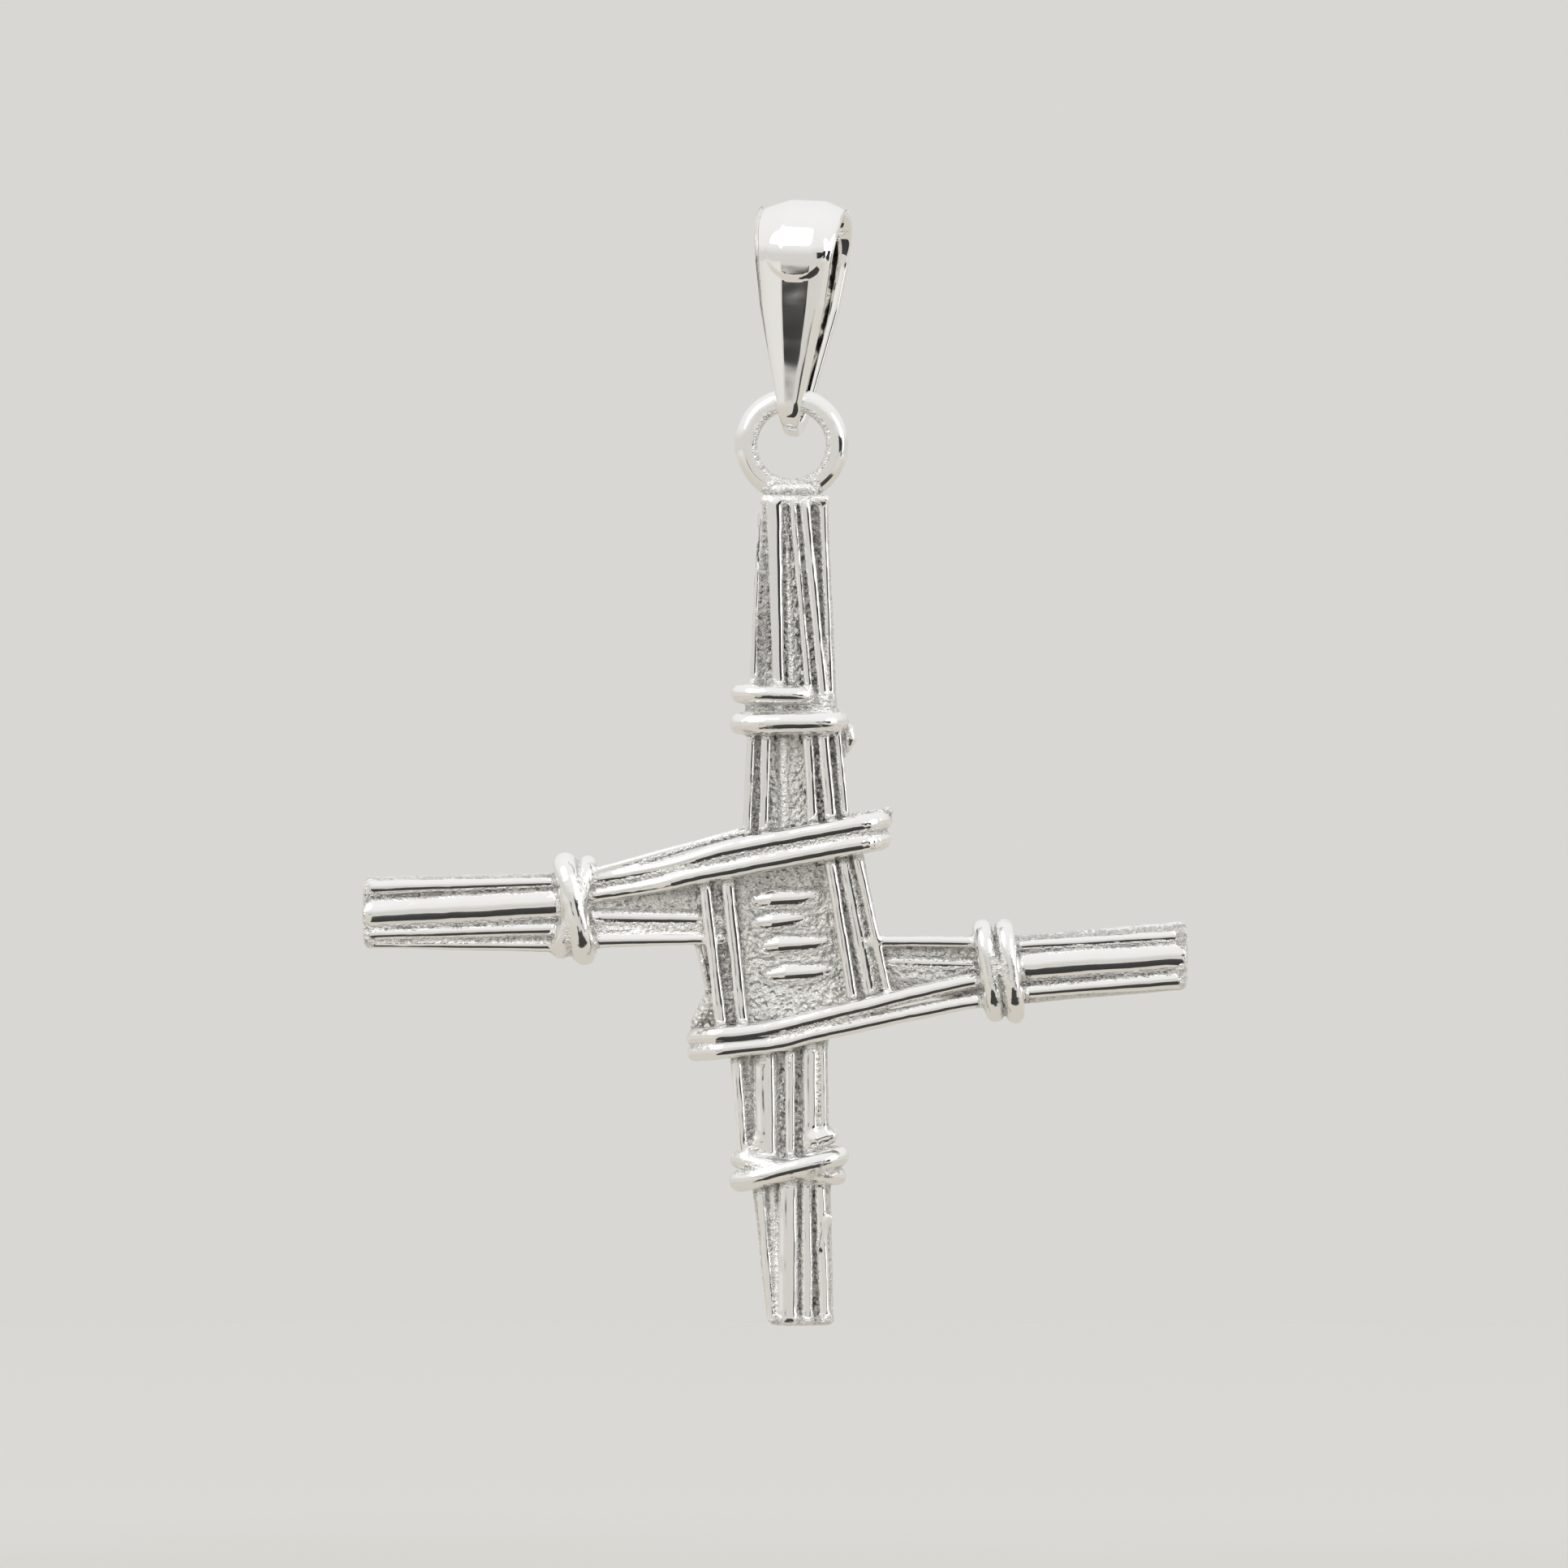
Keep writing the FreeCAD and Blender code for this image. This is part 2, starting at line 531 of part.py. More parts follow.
def add_cross(doc):
    """The whole casting: arms, upright bundles, bands, field, ties and ring."""
    trimmed = doc.addObject("Part::Cut", "trimmed")
    trimmed.Base = fuse(doc, "bundles", add_arms(doc) + add_posts(doc) + add_field(doc))
    trimmed.Tool = fuse(doc, "trims", add_trims(doc))
    trimmed.Refine = False
    cross = fuse(doc, "ringed", [trimmed] + add_ring(doc))
    for name, pieces in (
        ("tied", add_ties(doc)),
        ("upper_banded", add_band(doc, "upper_band", 1, "left_tie_reach")),
        ("lower_banded", add_band(doc, "lower_band", -1, "right_tie_reach")),
    ):
        joined = doc.addObject("Part::Fuse", name)
        joined.Base = cross
        joined.Tool = fuse(doc, f"{name}_pieces", pieces)
        joined.Refine = False
        cross = joined
    cross.Label = "cross"
    eye_x = f"-{cell('bail_reach')} * sin({cell('bail_lean')} * 1deg)"
    eye_z = f"-{cell('bail_reach')} * cos({cell('bail_lean')} * 1deg)"
    drop = f"sqrt({cell('ring_radius')}^2 - {cell('ring_offset')}^2)"
    bind(
        cross,
        Placement__Base__x=f"{eye_x} - {cell('ring_offset')} + {cell('crossing_offset')}",
        Placement__Base__z=f"{eye_z} - {drop} - {ring_height()}",
    )
    return cross


def plane_of(body, role):
    """One of a body's own origin planes."""
    return next(item for item in body.Origin.OriginFeatures if item.Role == role)


def add_teardrop(sketch, label, strip):
    """A closed teardrop: a large arc over a small one, joined by two tangent lines."""
    # First guesses, which the constraints' expressions replace
    drop, reach, wide, narrow = 1.5, 6.0, 1.5 + strip, 0.6 + strip
    top, foot = FreeCAD.Vector(0, -drop, 0), FreeCAD.Vector(0, -reach, 0)
    up = FreeCAD.Vector(0, 0, 1)
    over = sketch.addGeometry(Part.ArcOfCircle(Part.Circle(top, up, wide), 0, math.pi), False)
    under = sketch.addGeometry(
        Part.ArcOfCircle(Part.Circle(foot, up, narrow), math.pi, 2 * math.pi), False)
    add = sketch.addConstraint
    for side, over_end, under_end in ((-1, 2, 1), (1, 1, 2)):
        leg = sketch.addGeometry(Part.LineSegment(
            FreeCAD.Vector(side * wide, -drop, 0), FreeCAD.Vector(side * narrow, -reach, 0)), False)
        add(Sketcher.Constraint("Tangent", leg, 1, over, over_end))
        add(Sketcher.Constraint("Tangent", leg, 2, under, under_end))
    add(Sketcher.Constraint("PointOnObject", over, 3, -2))
    add(Sketcher.Constraint("PointOnObject", under, 3, -2))
    wall = f" + {cell('bail_strip')}" if strip else ""
    for name, constraint, expression in (
        ("drop", Sketcher.Constraint("DistanceY", over, 3, -1, 1, drop), cell("bail_top_bore")),
        ("reach", Sketcher.Constraint("DistanceY", under, 3, -1, 1, reach), cell("bail_reach")),
        ("over", Sketcher.Constraint("Radius", over, wide), cell("bail_top_bore") + wall),
        ("under", Sketcher.Constraint("Radius", under, narrow), cell("bail_foot_bore") + wall),
    ):
        sketch.renameConstraint(add(constraint), f"{label}_{name}")
        sketch.setExpression(f"Constraints.{label}_{name}", expression)


def add_outline(body, name, height, width):
    """The envelope's section at a height: flat behind, and in front a facet between two bevels."""
    over = f"({cell('bail_top_bore')} + {cell('bail_strip')})"
    under = f"({cell('bail_foot_bore')} + {cell('bail_strip')})"
    apart = f"({cell('bail_reach')} - {cell('bail_top_bore')})"
    lean = f"asin(({over} - {under}) / {apart})"
    front = f"({over} / cos({lean}) + (({height}) + {cell('bail_top_bore')}) * tan({lean}))"
    outline = body.newObject("Sketcher::SketchObject", name)
    outline.AttachmentSupport = [(plane_of(body, "XY_Plane"), "")]
    outline.MapMode = "FlatFace"
    outline.setExpression("AttachmentOffset.Base.z", height)
    # First guesses, which the constraints' expressions replace
    corners = [(-1.0, 1.5), (-1.0, -1.0), (-0.5, -1.5), (0.5, -1.5), (1.0, -1.0), (1.0, 1.5)]
    points = [FreeCAD.Vector(x, y, 0) for x, y in corners]
    for first, second in zip(points, points[1:] + points[:1]):
        outline.addGeometry(Part.LineSegment(first, second), False)
    add = outline.addConstraint
    for line in range(len(points)):
        add(Sketcher.Constraint("Coincident", line, 2, (line + 1) % len(points), 1))
    for first, second in ((2, 3), (1, 4), (0, 5)):
        add(Sketcher.Constraint("Symmetric", first, 1, second, 1, -2))
    add(Sketcher.Constraint("Vertical", 0))
    facet = f"{width} * {cell('bail_facet_share')}"
    bevel = f"{width} * {cell('bail_bevel_share')}"
    for key, constraint, expression in (
        ("width", Sketcher.Constraint("DistanceX", 1, 1, 4, 1, 2.0), width),
        ("facet", Sketcher.Constraint("DistanceX", 2, 1, 3, 1, 1.0), facet),
        ("front", Sketcher.Constraint("DistanceY", 2, 1, -1, 1, 1.5), front),
        ("bevel", Sketcher.Constraint("DistanceY", 2, 1, 1, 1, 0.5), bevel),
        ("back", Sketcher.Constraint("DistanceY", -1, 1, 0, 1, 1.5), f"2 * {over}"),
    ):
        outline.renameConstraint(add(constraint), key)
        outline.setExpression(f"Constraints.{key}", expression)
    return outline


def add_envelope(doc):
    """The tapering block that the loop of strip is cut to, with its shoulders rounded."""
    body = doc.addObject("PartDesign::Body", "bail_envelope")
    top = cell("bail_strip")
    foot = f"-({cell('bail_reach')} + {cell('bail_foot_bore')} + {cell('bail_strip')})"
    sections = [
        add_outline(body, "shoulder_outline", top, cell("bail_shoulder_width")),
        add_outline(body, "waist_outline", f"-{cell('bail_waist_drop')}", cell("bail_waist_width")),
        add_outline(body, "foot_outline", foot, cell("bail_foot_width")),
    ]
    loft = body.newObject("PartDesign::AdditiveLoft", "bail_taper")
    loft.Profile = sections[0]
    loft.Sections = sections[1:]
    loft.Ruled = True
    doc.recompute()
    highest = loft.Shape.BoundBox.ZMax
    edges = []
    for number, edge in enumerate(loft.Shape.Edges, start=1):
        level = all(abs(corner.Point.z - highest) < SAME for corner in edge.Vertexes)
        along_y = abs(edge.Vertexes[0].Point.x - edge.Vertexes[-1].Point.x) < SAME
        if level and along_y:
            edges.append(f"Edge{number}")
    rounding = body.newObject("PartDesign::Fillet", "bail_shoulders")
    rounding.Base = (loft, edges)
    rounding.setExpression("Radius", cell("bail_shoulder_round"))
    body.Tip = rounding
    return body


def add_bail(doc):
    """The bail: a teardrop loop of strip, cut to its tapering, bevelled outline."""
    loop = doc.addObject("PartDesign::Body", "bail_loop")
    side = loop.newObject("Sketcher::SketchObject", "bail_side")
    side.AttachmentSupport = [(plane_of(loop, "YZ_Plane"), "")]
    side.MapMode = "FlatFace"
    add_teardrop(side, "outer", 0.5)
    add_teardrop(side, "inner", 0.0)
    pad = loop.newObject("PartDesign::Pad", "bail_pad")
    pad.Profile = side
    pad.Midplane = True
    pad.setExpression("Length", f"{cell('bail_shoulder_width')} * {BLANK_EXCESS}")
    bail = doc.addObject("Part::Common", "bail_piece")
    bail.Label = "bail"
    bail.Base = add_envelope(doc)
    bail.Tool = loop
    lean = f"create(<<rotation>>; create(<<vector>>; 0; 1; 0); {cell('bail_lean')})"
    turn = f"create(<<rotation>>; create(<<vector>>; 0; 0; 1); {cell('bail_turn')})"
    bind(bail, Placement=f"create(<<placement>>; create(<<vector>>; 0; 0; 0); {lean} * {turn})")
    return bail


def main():
    """Builds the document, checks it and writes one file for each piece."""
    doc = FreeCAD.newDocument("rush_cross_pendant")
    make_sheet(doc)
    nodes = [add_cross(doc), add_bail(doc)]
    doc.recompute()
    for item in doc.Objects:
        if "Invalid" in item.State or "Error" in item.State:
            raise SystemExit(f"{item.Name} failed: {item.State}")
    os.makedirs("parts", exist_ok=True)
    for node in nodes:
        shape = node.Shape
        if shape.isNull() or not shape.isValid():
            raise SystemExit(f"{node.Label} has no valid shape")
        shape.exportStep(f"parts/{node.Label}.step")
        print(node.Label, len(shape.Solids), "solid,", round(shape.Volume, 2), "mm3")


main()
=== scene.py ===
"""A cast silver pendant in the form of a woven rush cross, with the looped bail that it hangs from.

The casting is one skin. Every reed, cord and web of the weave is a plain distance formula. The
formulas are melted into one another as wax is, and the skin is the surface where the sum is zero.
The bail is a profile carried round a teardrop path. Sizes are in millimetres until a mesh is written.
"""

from __future__ import annotations

import logging
import math
from dataclasses import dataclass, field
from enum import Enum

import bpy
import numpy as np
from bpy.types import Material, Node, NodeSocket, NodeTree, Object
from mathutils import Matrix, Vector

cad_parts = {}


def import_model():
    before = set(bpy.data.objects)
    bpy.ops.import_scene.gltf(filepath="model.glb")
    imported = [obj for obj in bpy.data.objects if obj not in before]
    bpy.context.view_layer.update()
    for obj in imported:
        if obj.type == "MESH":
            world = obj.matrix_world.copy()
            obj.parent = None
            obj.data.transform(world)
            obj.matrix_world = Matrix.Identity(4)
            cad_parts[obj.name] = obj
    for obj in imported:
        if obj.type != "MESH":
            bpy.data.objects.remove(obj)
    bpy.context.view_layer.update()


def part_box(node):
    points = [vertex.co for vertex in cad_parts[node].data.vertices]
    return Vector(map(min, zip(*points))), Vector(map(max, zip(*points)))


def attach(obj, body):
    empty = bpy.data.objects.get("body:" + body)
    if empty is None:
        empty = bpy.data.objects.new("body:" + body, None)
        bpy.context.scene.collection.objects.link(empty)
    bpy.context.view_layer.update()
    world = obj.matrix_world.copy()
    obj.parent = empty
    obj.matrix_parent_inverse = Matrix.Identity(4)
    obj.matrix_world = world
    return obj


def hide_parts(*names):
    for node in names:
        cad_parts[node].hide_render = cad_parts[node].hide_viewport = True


LOG = logging.getLogger("rush_cross")
MM = 0.001
SMALL = 1e-9
Pair = tuple[float, float]
Triple = tuple[float, float, float]
Colour = tuple[float, float, float, float]
Array = np.ndarray
Spots = tuple[Array, Array, Array]


class Way(Enum):
    """The way an arm points, as its axis in the plane of the cross and its sense."""

    TOP = ("upright", 1)
    BOTTOM = ("upright", -1)
    LEFT = ("level", -1)
    RIGHT = ("level", 1)

    @property
    def upright(self) -> bool:
        """Whether the arm runs up or down."""
        return self.value[0] == "upright"

    def place(self, across: float, along: float) -> Pair:
        """The point (x, z) at a distance across the arm and along its axis."""
        return (across, along) if self.upright else (along, across)


def melt(first: Array, second: Array, reach: float) -> Array:
    """The smaller of two distances, rounded where they are alike.

    It is min(a, b) - h * h / (4 k), where h is how far |a - b| falls short of the reach k.

    Args:
        first: Distances to one body.
        second: Distances to the other body.
        reach: How far apart two distances may be and still be blended.

    Returns:
        Distances to the two bodies melted together.
    """
    short = np.maximum(reach - np.abs(first - second), 0.0)
    return np.minimum(first, second) - short * short / (4.0 * reach)


@dataclass(frozen=True)
class Strand:
    """A round strand along a line of points, thicker or thinner on its way, front and back alike."""

    points: tuple[Triple, ...]
    radii: tuple[float, ...]
    flat: float = 1.0

    def box(self, margin: float) -> tuple[Array, Array]:
        """The box round the strand.

        Args:
            margin: How much room the box leaves.

        Returns:
            Its lowest and its highest corner.
        """
        points = np.array(self.points)
        grown = max(self.radii) + margin
        return points.min(0) - grown, points.max(0) + grown

    def distance(self, spots: Spots) -> Array:
        """The distance from the strand's surface.

        For each piece of the line it is |p - c| - r, where c is the nearest point of the piece and r
        the radius there, and the smallest of the pieces counts. Depths are divided by the flatness
        first, so that a strand below 1 is less deep than wide.

        Args:
            spots: Places across, depths in front of the mid plane, and heights.

        Returns:
            Distances, negative inside.
        """
        x, y, z = spots
        best = None
        points, radii = np.array(self.points), self.radii
        for start, end, near, far in zip(points[:-1], points[1:], radii[:-1], radii[1:]):
            run = end - start
            along = (x - start[0]) * run[0] + (y - start[1]) * run[1] + (z - start[2]) * run[2]
            share = np.clip(along / max(float(run @ run), SMALL), 0.0, 1.0)
            gap_x = x - (start[0] + share * run[0])
            gap_y = (y - (start[1] + share * run[1])) / self.flat
            gap_z = z - (start[2] + share * run[2])
            gap = np.sqrt(gap_x**2 + gap_y**2 + gap_z**2) - (near + (far - near) * share)
            best = gap if best is None else np.minimum(best, gap)
        return best


@dataclass(frozen=True)
class Web:
    """The sunk body that carries a bundle's reeds: a tapering bar with rounded edges."""

    way: Way
    near: Triple
    far: Triple
    depth: float
    rounding: float = 0.22

    def box(self, margin: float) -> tuple[Array, Array]:
        """The box round the web.

        Args:
            margin: How much room the box leaves.

        Returns:
            Its lowest and its highest corner.
        """
        corners = [
            (*self.way.place(across, row[0]), depth)
            for row in (self.near, self.far)
            for across in row[1:]
            for depth in (-self.depth, self.depth)
        ]
        points = np.array(corners)[:, [0, 2, 1]]
        return points.min(0) - margin, points.max(0) + margin

    def distance(self, spots: Spots) -> Array:
        """The distance from a box whose sides slant, less the rounding of its edges.

        With the distances past the box's sides, front and end, it is the root of the sum of the
        squares of those above 0, and the largest of the three where none is.

        Args:
            spots: Places across, depths in front of the mid plane, and heights.

        Returns:
            Distances, negative inside.
        """
        x, y, z = spots
        across, along = (x, z) if self.way.upright else (z, x)
        share = np.clip((along - self.near[0]) / (self.far[0] - self.near[0]), 0.0, 1.0)
        low = self.near[1] + (self.far[1] - self.near[1]) * share
        high = self.near[2] + (self.far[2] - self.near[2]) * share
        first, last = sorted((self.near[0], self.far[0]))
        side = np.abs(across - (low + high) / 2) - ((high - low) / 2 - self.rounding)
        front = np.abs(y) - (self.depth - self.rounding)
        end = np.abs(along - (first + last) / 2) - ((last - first) / 2 - self.rounding)
        squares = [np.maximum(gap, 0) ** 2 for gap in (side, front, end)]
        outside = np.sqrt(squares[0] + squares[1] + squares[2])
        inside = np.minimum(np.maximum(np.maximum(side, front), end), 0)
        return outside + inside - self.rounding


@dataclass(frozen=True)
class Reed:
    """One reed of a bundle: its place across and radius at both stations, and how high it stands."""

    across: Pair
    radii: Pair
    crown: float
    reach: Pair | None = None
    flat: float = 0.66

    def strand(self, way: Way, near: float, far: float) -> Strand:
        """The reed as a strand between the bundle's stations, or between its own.

        Args:
            way: The way the arm points.
            near: The bundle's first station.
            far: The bundle's last station.

        Returns:
            The strand.
        """
        first, last = self.reach or (near, far)
        ends = []
        for across, along, radius in zip(self.across, (first, last), self.radii):
            x, z = way.place(across, along)
            ends.append((x, self.crown - radius * self.flat, z))
        return Strand(tuple(ends), self.radii, self.flat)


@dataclass(frozen=True)
class Bundle:
    """A bundle of reeds on a web. A station is a place along, and the two sides of the web there."""

    way: Way
    near: Triple
    far: Triple
    reeds: tuple[Reed, ...]
    depth: float = 0.66
    side_reed: float = 0.3
    side_inset: float = 0.9
    side_taper: float = 0.95
    side_depth: float = 0.34

    def web(self) -> Web:
        """The web under the reeds."""
        return Web(self.way, self.near, self.far, self.depth)

    def strands(self) -> list[Strand]:
        """The reeds on the face, and one that runs down each side of the bundle.

        Returns:
            The reeds as strands, those on the face first.
        """
        made = [reed.strand(self.way, self.near[0], self.far[0]) for reed in self.reeds]
        for side, inward in ((1, 1), (2, -1)):
            ends = []
            for station in (self.near, self.far):
                across = station[side] + inward * self.side_reed * self.side_inset
                x, z = self.way.place(across, station[0])
                ends.append((x, self.side_depth, z))
            made.append(Strand(tuple(ends), (self.side_reed, self.side_reed * self.side_taper)))
        return made


@dataclass(frozen=True)
class Band:
    """One strand of a slanting band, from its tail at a tie to its fold round the side."""

    line: tuple[Pair, ...]
    radii: Pair
    depths: Pair
    side: int
    bulge: float = 0.9
    steps: int = 8
    flat: float = 0.8

    def strand(self) -> Strand:
        """The strand: a smooth line through the given points, then a quarter turn to the mid plane.

        The line is a Catmull-Rom curve. Its radius eases by t * t * (3 - 2 t) to the fold, and its
        depth twice as fast. The turn is x = bulge * sin(a), y = depth * cos(a), and it keeps the
        line's rise.

        Returns:
            The strand, tail first.
        """
        points = np.array(self.line, float)
        padded = np.vstack([2 * points[0] - points[1], points, 2 * points[-1] - points[-2]])
        share = np.linspace(0.0, 1.0, self.steps, endpoint=False)[:, None]
        pieces = []
        for number in range(len(points) - 1):
            before, start, end, after = padded[number : number + 4]
            pieces.append(0.5 * (2 * start + (end - before) * share
                                 + (2 * before - 5 * start + 4 * end - after) * share**2
                                 + (3 * start - before - 3 * end + after) * share**3))
        route = np.vstack([*pieces, points[-1:]])
        way = np.linspace(0.0, 1.0, len(route))
        ease = way * way * (3 - 2 * way)
        depth = self.depths[0] + (self.depths[1] - self.depths[0]) * np.minimum(ease * 2.0, 1.0)
        radius = self.radii[0] + (self.radii[1] - self.radii[0]) * ease
        front = np.column_stack([route[:, 0], depth, route[:, 1]])
        angle = np.linspace(0.0, math.pi / 2, self.steps + 1)[1:]
        out = self.bulge * np.sin(angle)
        rise = (route[-1, 1] - route[-2, 1]) / abs(route[-1, 0] - route[-2, 0])
        turn = np.column_stack([
            route[-1, 0] + self.side * out, depth[-1] * np.cos(angle), route[-1, 1] + rise * out,
        ])
        radii = np.concatenate([radius, np.full(len(turn), radius[-1])])
        return Strand(tuple(map(tuple, np.vstack([front, turn]))), tuple(radii), self.flat)


@dataclass(frozen=True)
class Turn:
    """One turn of a tie's cord round an arm, between the two points where it passes the sides."""

    first: Pair
    last: Pair
    depth: float
    radius: float
    squareness: float = 0.62
    steps: int = 26

    def strand(self) -> Strand:
        """The turn: half a superellipse from side to side, which its mirror image closes.

        The place is middle + half * cos(a) ^ s, the depth is depth * sin(a) ^ s.

        Returns:
            The strand.
        """
        angle = np.linspace(0.0, math.pi, self.steps)
        cosine = np.sign(np.cos(angle)) * np.abs(np.cos(angle)) ** self.squareness
        sine = np.abs(np.sin(angle)) ** self.squareness
        middle = (np.array(self.first) + np.array(self.last)) / 2
        half = (np.array(self.last) - np.array(self.first)) / 2
        place = middle - cosine[:, None] * half
        points = np.column_stack([place[:, 0], self.depth * sine, place[:, 1]])
        return Strand(tuple(map(tuple, points)), (self.radius,) * self.steps)


@dataclass
class Weave:
    """The whole weave as one distance formula, about the middle of its crossing."""

    reeds: list[Strand] = field(default_factory=list)
    webs: list[Web] = field(default_factory=list)
    cords: list[Strand] = field(default_factory=list)
    lumps: list[Strand] = field(default_factory=list)
    ridges: list[Strand] = field(default_factory=list)
    groove: float = 0.12
    fillet: float = 0.22
    cord_fillet: float = 0.14
    margin: float = 0.4
    waves: Pair = (0.011, 0.0045)
    ends: tuple[float, ...] = (-13.87, 12.47, -12.26, 14.2)
    end_round: float = 0.3
    ring_place: Pair = (-0.17, 15.9)
    ring_radius: float = 1.475
    ring_wire: float = 0.345
    ring_slant: float = 0.3
    ring_fillet: float = 0.16
    neck: Web = Web(Way.TOP, (14.0, -1.05, 0.9), (14.62, -0.75, 0.45), 0.5, 0.12)

    def gather(self, bodies: list[Strand | Web], spots: Spots, reach: float) -> Array:
        """The melted distance to many bodies, each worked out only where it is near.

        Args:
            bodies: Strands or webs.
            spots: Places across, depths and heights: rows of one length, or the axes of a grid.
            reach: How far the bodies melt into each other.

        Returns:
            Distances, no larger than the margin.
        """
        x, y, z = spots
        grid = x.ndim == 3
        shape = np.broadcast_shapes(x.shape, y.shape, z.shape)
        total = np.full(shape, self.margin, np.float32 if grid else float)
        for body in bodies:
            low, high = body.box(self.margin)
            if grid:
                spans = []
                for axis, line in enumerate((x, y, z)):
                    flat = line.ravel()
                    first = int(np.searchsorted(flat, low[axis]))
                    last = int(np.searchsorted(flat, high[axis]))
                    spans.append(slice(first, last))
                if any(span.stop <= span.start for span in spans):
                    continue
                block = tuple(spans)
                near = body.distance((x[spans[0]], y[:, spans[1]], z[:, :, spans[2]]))
                total[block] = melt(total[block], near, reach)
            else:
                inside = ((x > low[0]) & (x < high[0]) & (y > low[1]) & (y < high[1])
                          & (z > low[2]) & (z < high[2]))
                if inside.any():
                    near = body.distance((x[inside], y[inside], z[inside]))
                    total[inside] = melt(total[inside], near, reach)
        return total

    def distance(self, spots: Spots) -> tuple[Array, Array]:
        """The distance to the weave, and how much nearer the polished strands are than the webs.

        The webs, ridges and reeds are melted together and cut off softly at the arms' ends, and the
        cords are melted on. The ring's section is the cube root of the sum of the cubes of the
        distance from its circle and of the depth, with sides that slant.

        Args:
            spots: Places across, depths of either side, and heights.

        Returns:
            Distances, and the webs' distance less the strands'.
        """
        x, depth, z = spots[0], np.abs(spots[1]), spots[2]
        folded = (x, depth, z)
        reeds = self.gather(self.reeds, folded, self.groove)
        webs = self.gather(self.webs + self.lumps, folded, self.fillet)
        ridges = self.gather(self.ridges, folded, self.groove)
        body = melt(reeds, melt(webs, ridges, self.fillet), self.fillet)
        left, right, foot, head = self.ends
        cut = np.maximum(np.maximum(left - x, x - right), np.maximum(foot - z, z - head))
        body = -melt(-body, -cut, self.end_round)
        cords = self.gather(self.cords, folded, self.groove)
        body = melt(body, cords, self.cord_fillet)
        middle_x, middle_z = self.ring_place
        span = np.sqrt((x - middle_x) ** 2 + (z - middle_z) ** 2) - self.ring_radius
        across = np.abs(span + self.ring_slant * depth)
        ring = np.cbrt(across**3 + depth**3) - self.ring_wire
        crest = melt(ring, self.neck.distance(folded), self.ring_fillet)
        polish = webs - np.minimum(np.minimum(reeds, cords), np.minimum(ridges, crest))
        return melt(body, crest, self.ring_fillet) + self.ripple(folded), polish

    def ripple(self, spots: Spots) -> Array:
        """The unevenness of the wax: slow waves and quick ones, about 3 mm and 1 mm long.

        Each is one sine across times one sine along, and a sine of the other place bends either.

        Args:
            spots: Places across, depths and heights.

        Returns:
            How far the surface dips.
        """
        x, y, z = spots
        slow_across = np.sin(1.9 * x + 1.1 * np.sin(1.3 * z) + 0.7)
        slow_along = np.sin(2.3 * z + 1.4 * np.sin(1.7 * x) + 2.1)
        quick_across = np.sin(5.3 * x + 2.0 * np.sin(2.9 * z) + 3.0 * y)
        quick_along = np.sin(4.7 * z + 1.9 * np.sin(3.7 * x))
        slow, quick = slow_across * slow_along, quick_across * quick_along
        return self.waves[0] * slow + self.waves[1] * quick

    def slope(self, points: Array, step: float = 0.01) -> tuple[Array, Array]:
        """The distance at points, and its slope by differences over a small tetrahedron.

        Args:
            points: Places, one row each.
            step: Size of the tetrahedron.

        Returns:
            Distances, and slopes as rows.
        """
        corners = np.array([(1, -1, -1), (-1, -1, 1), (-1, 1, -1), (1, 1, 1)], float)
        slope, total = np.zeros_like(points), np.zeros(len(points))
        for corner in corners:
            value = self.distance(tuple((points + corner * step).T))[0]
            slope += value[:, None] * corner
            total += value
        return total / len(corners), slope / (len(corners) * step)


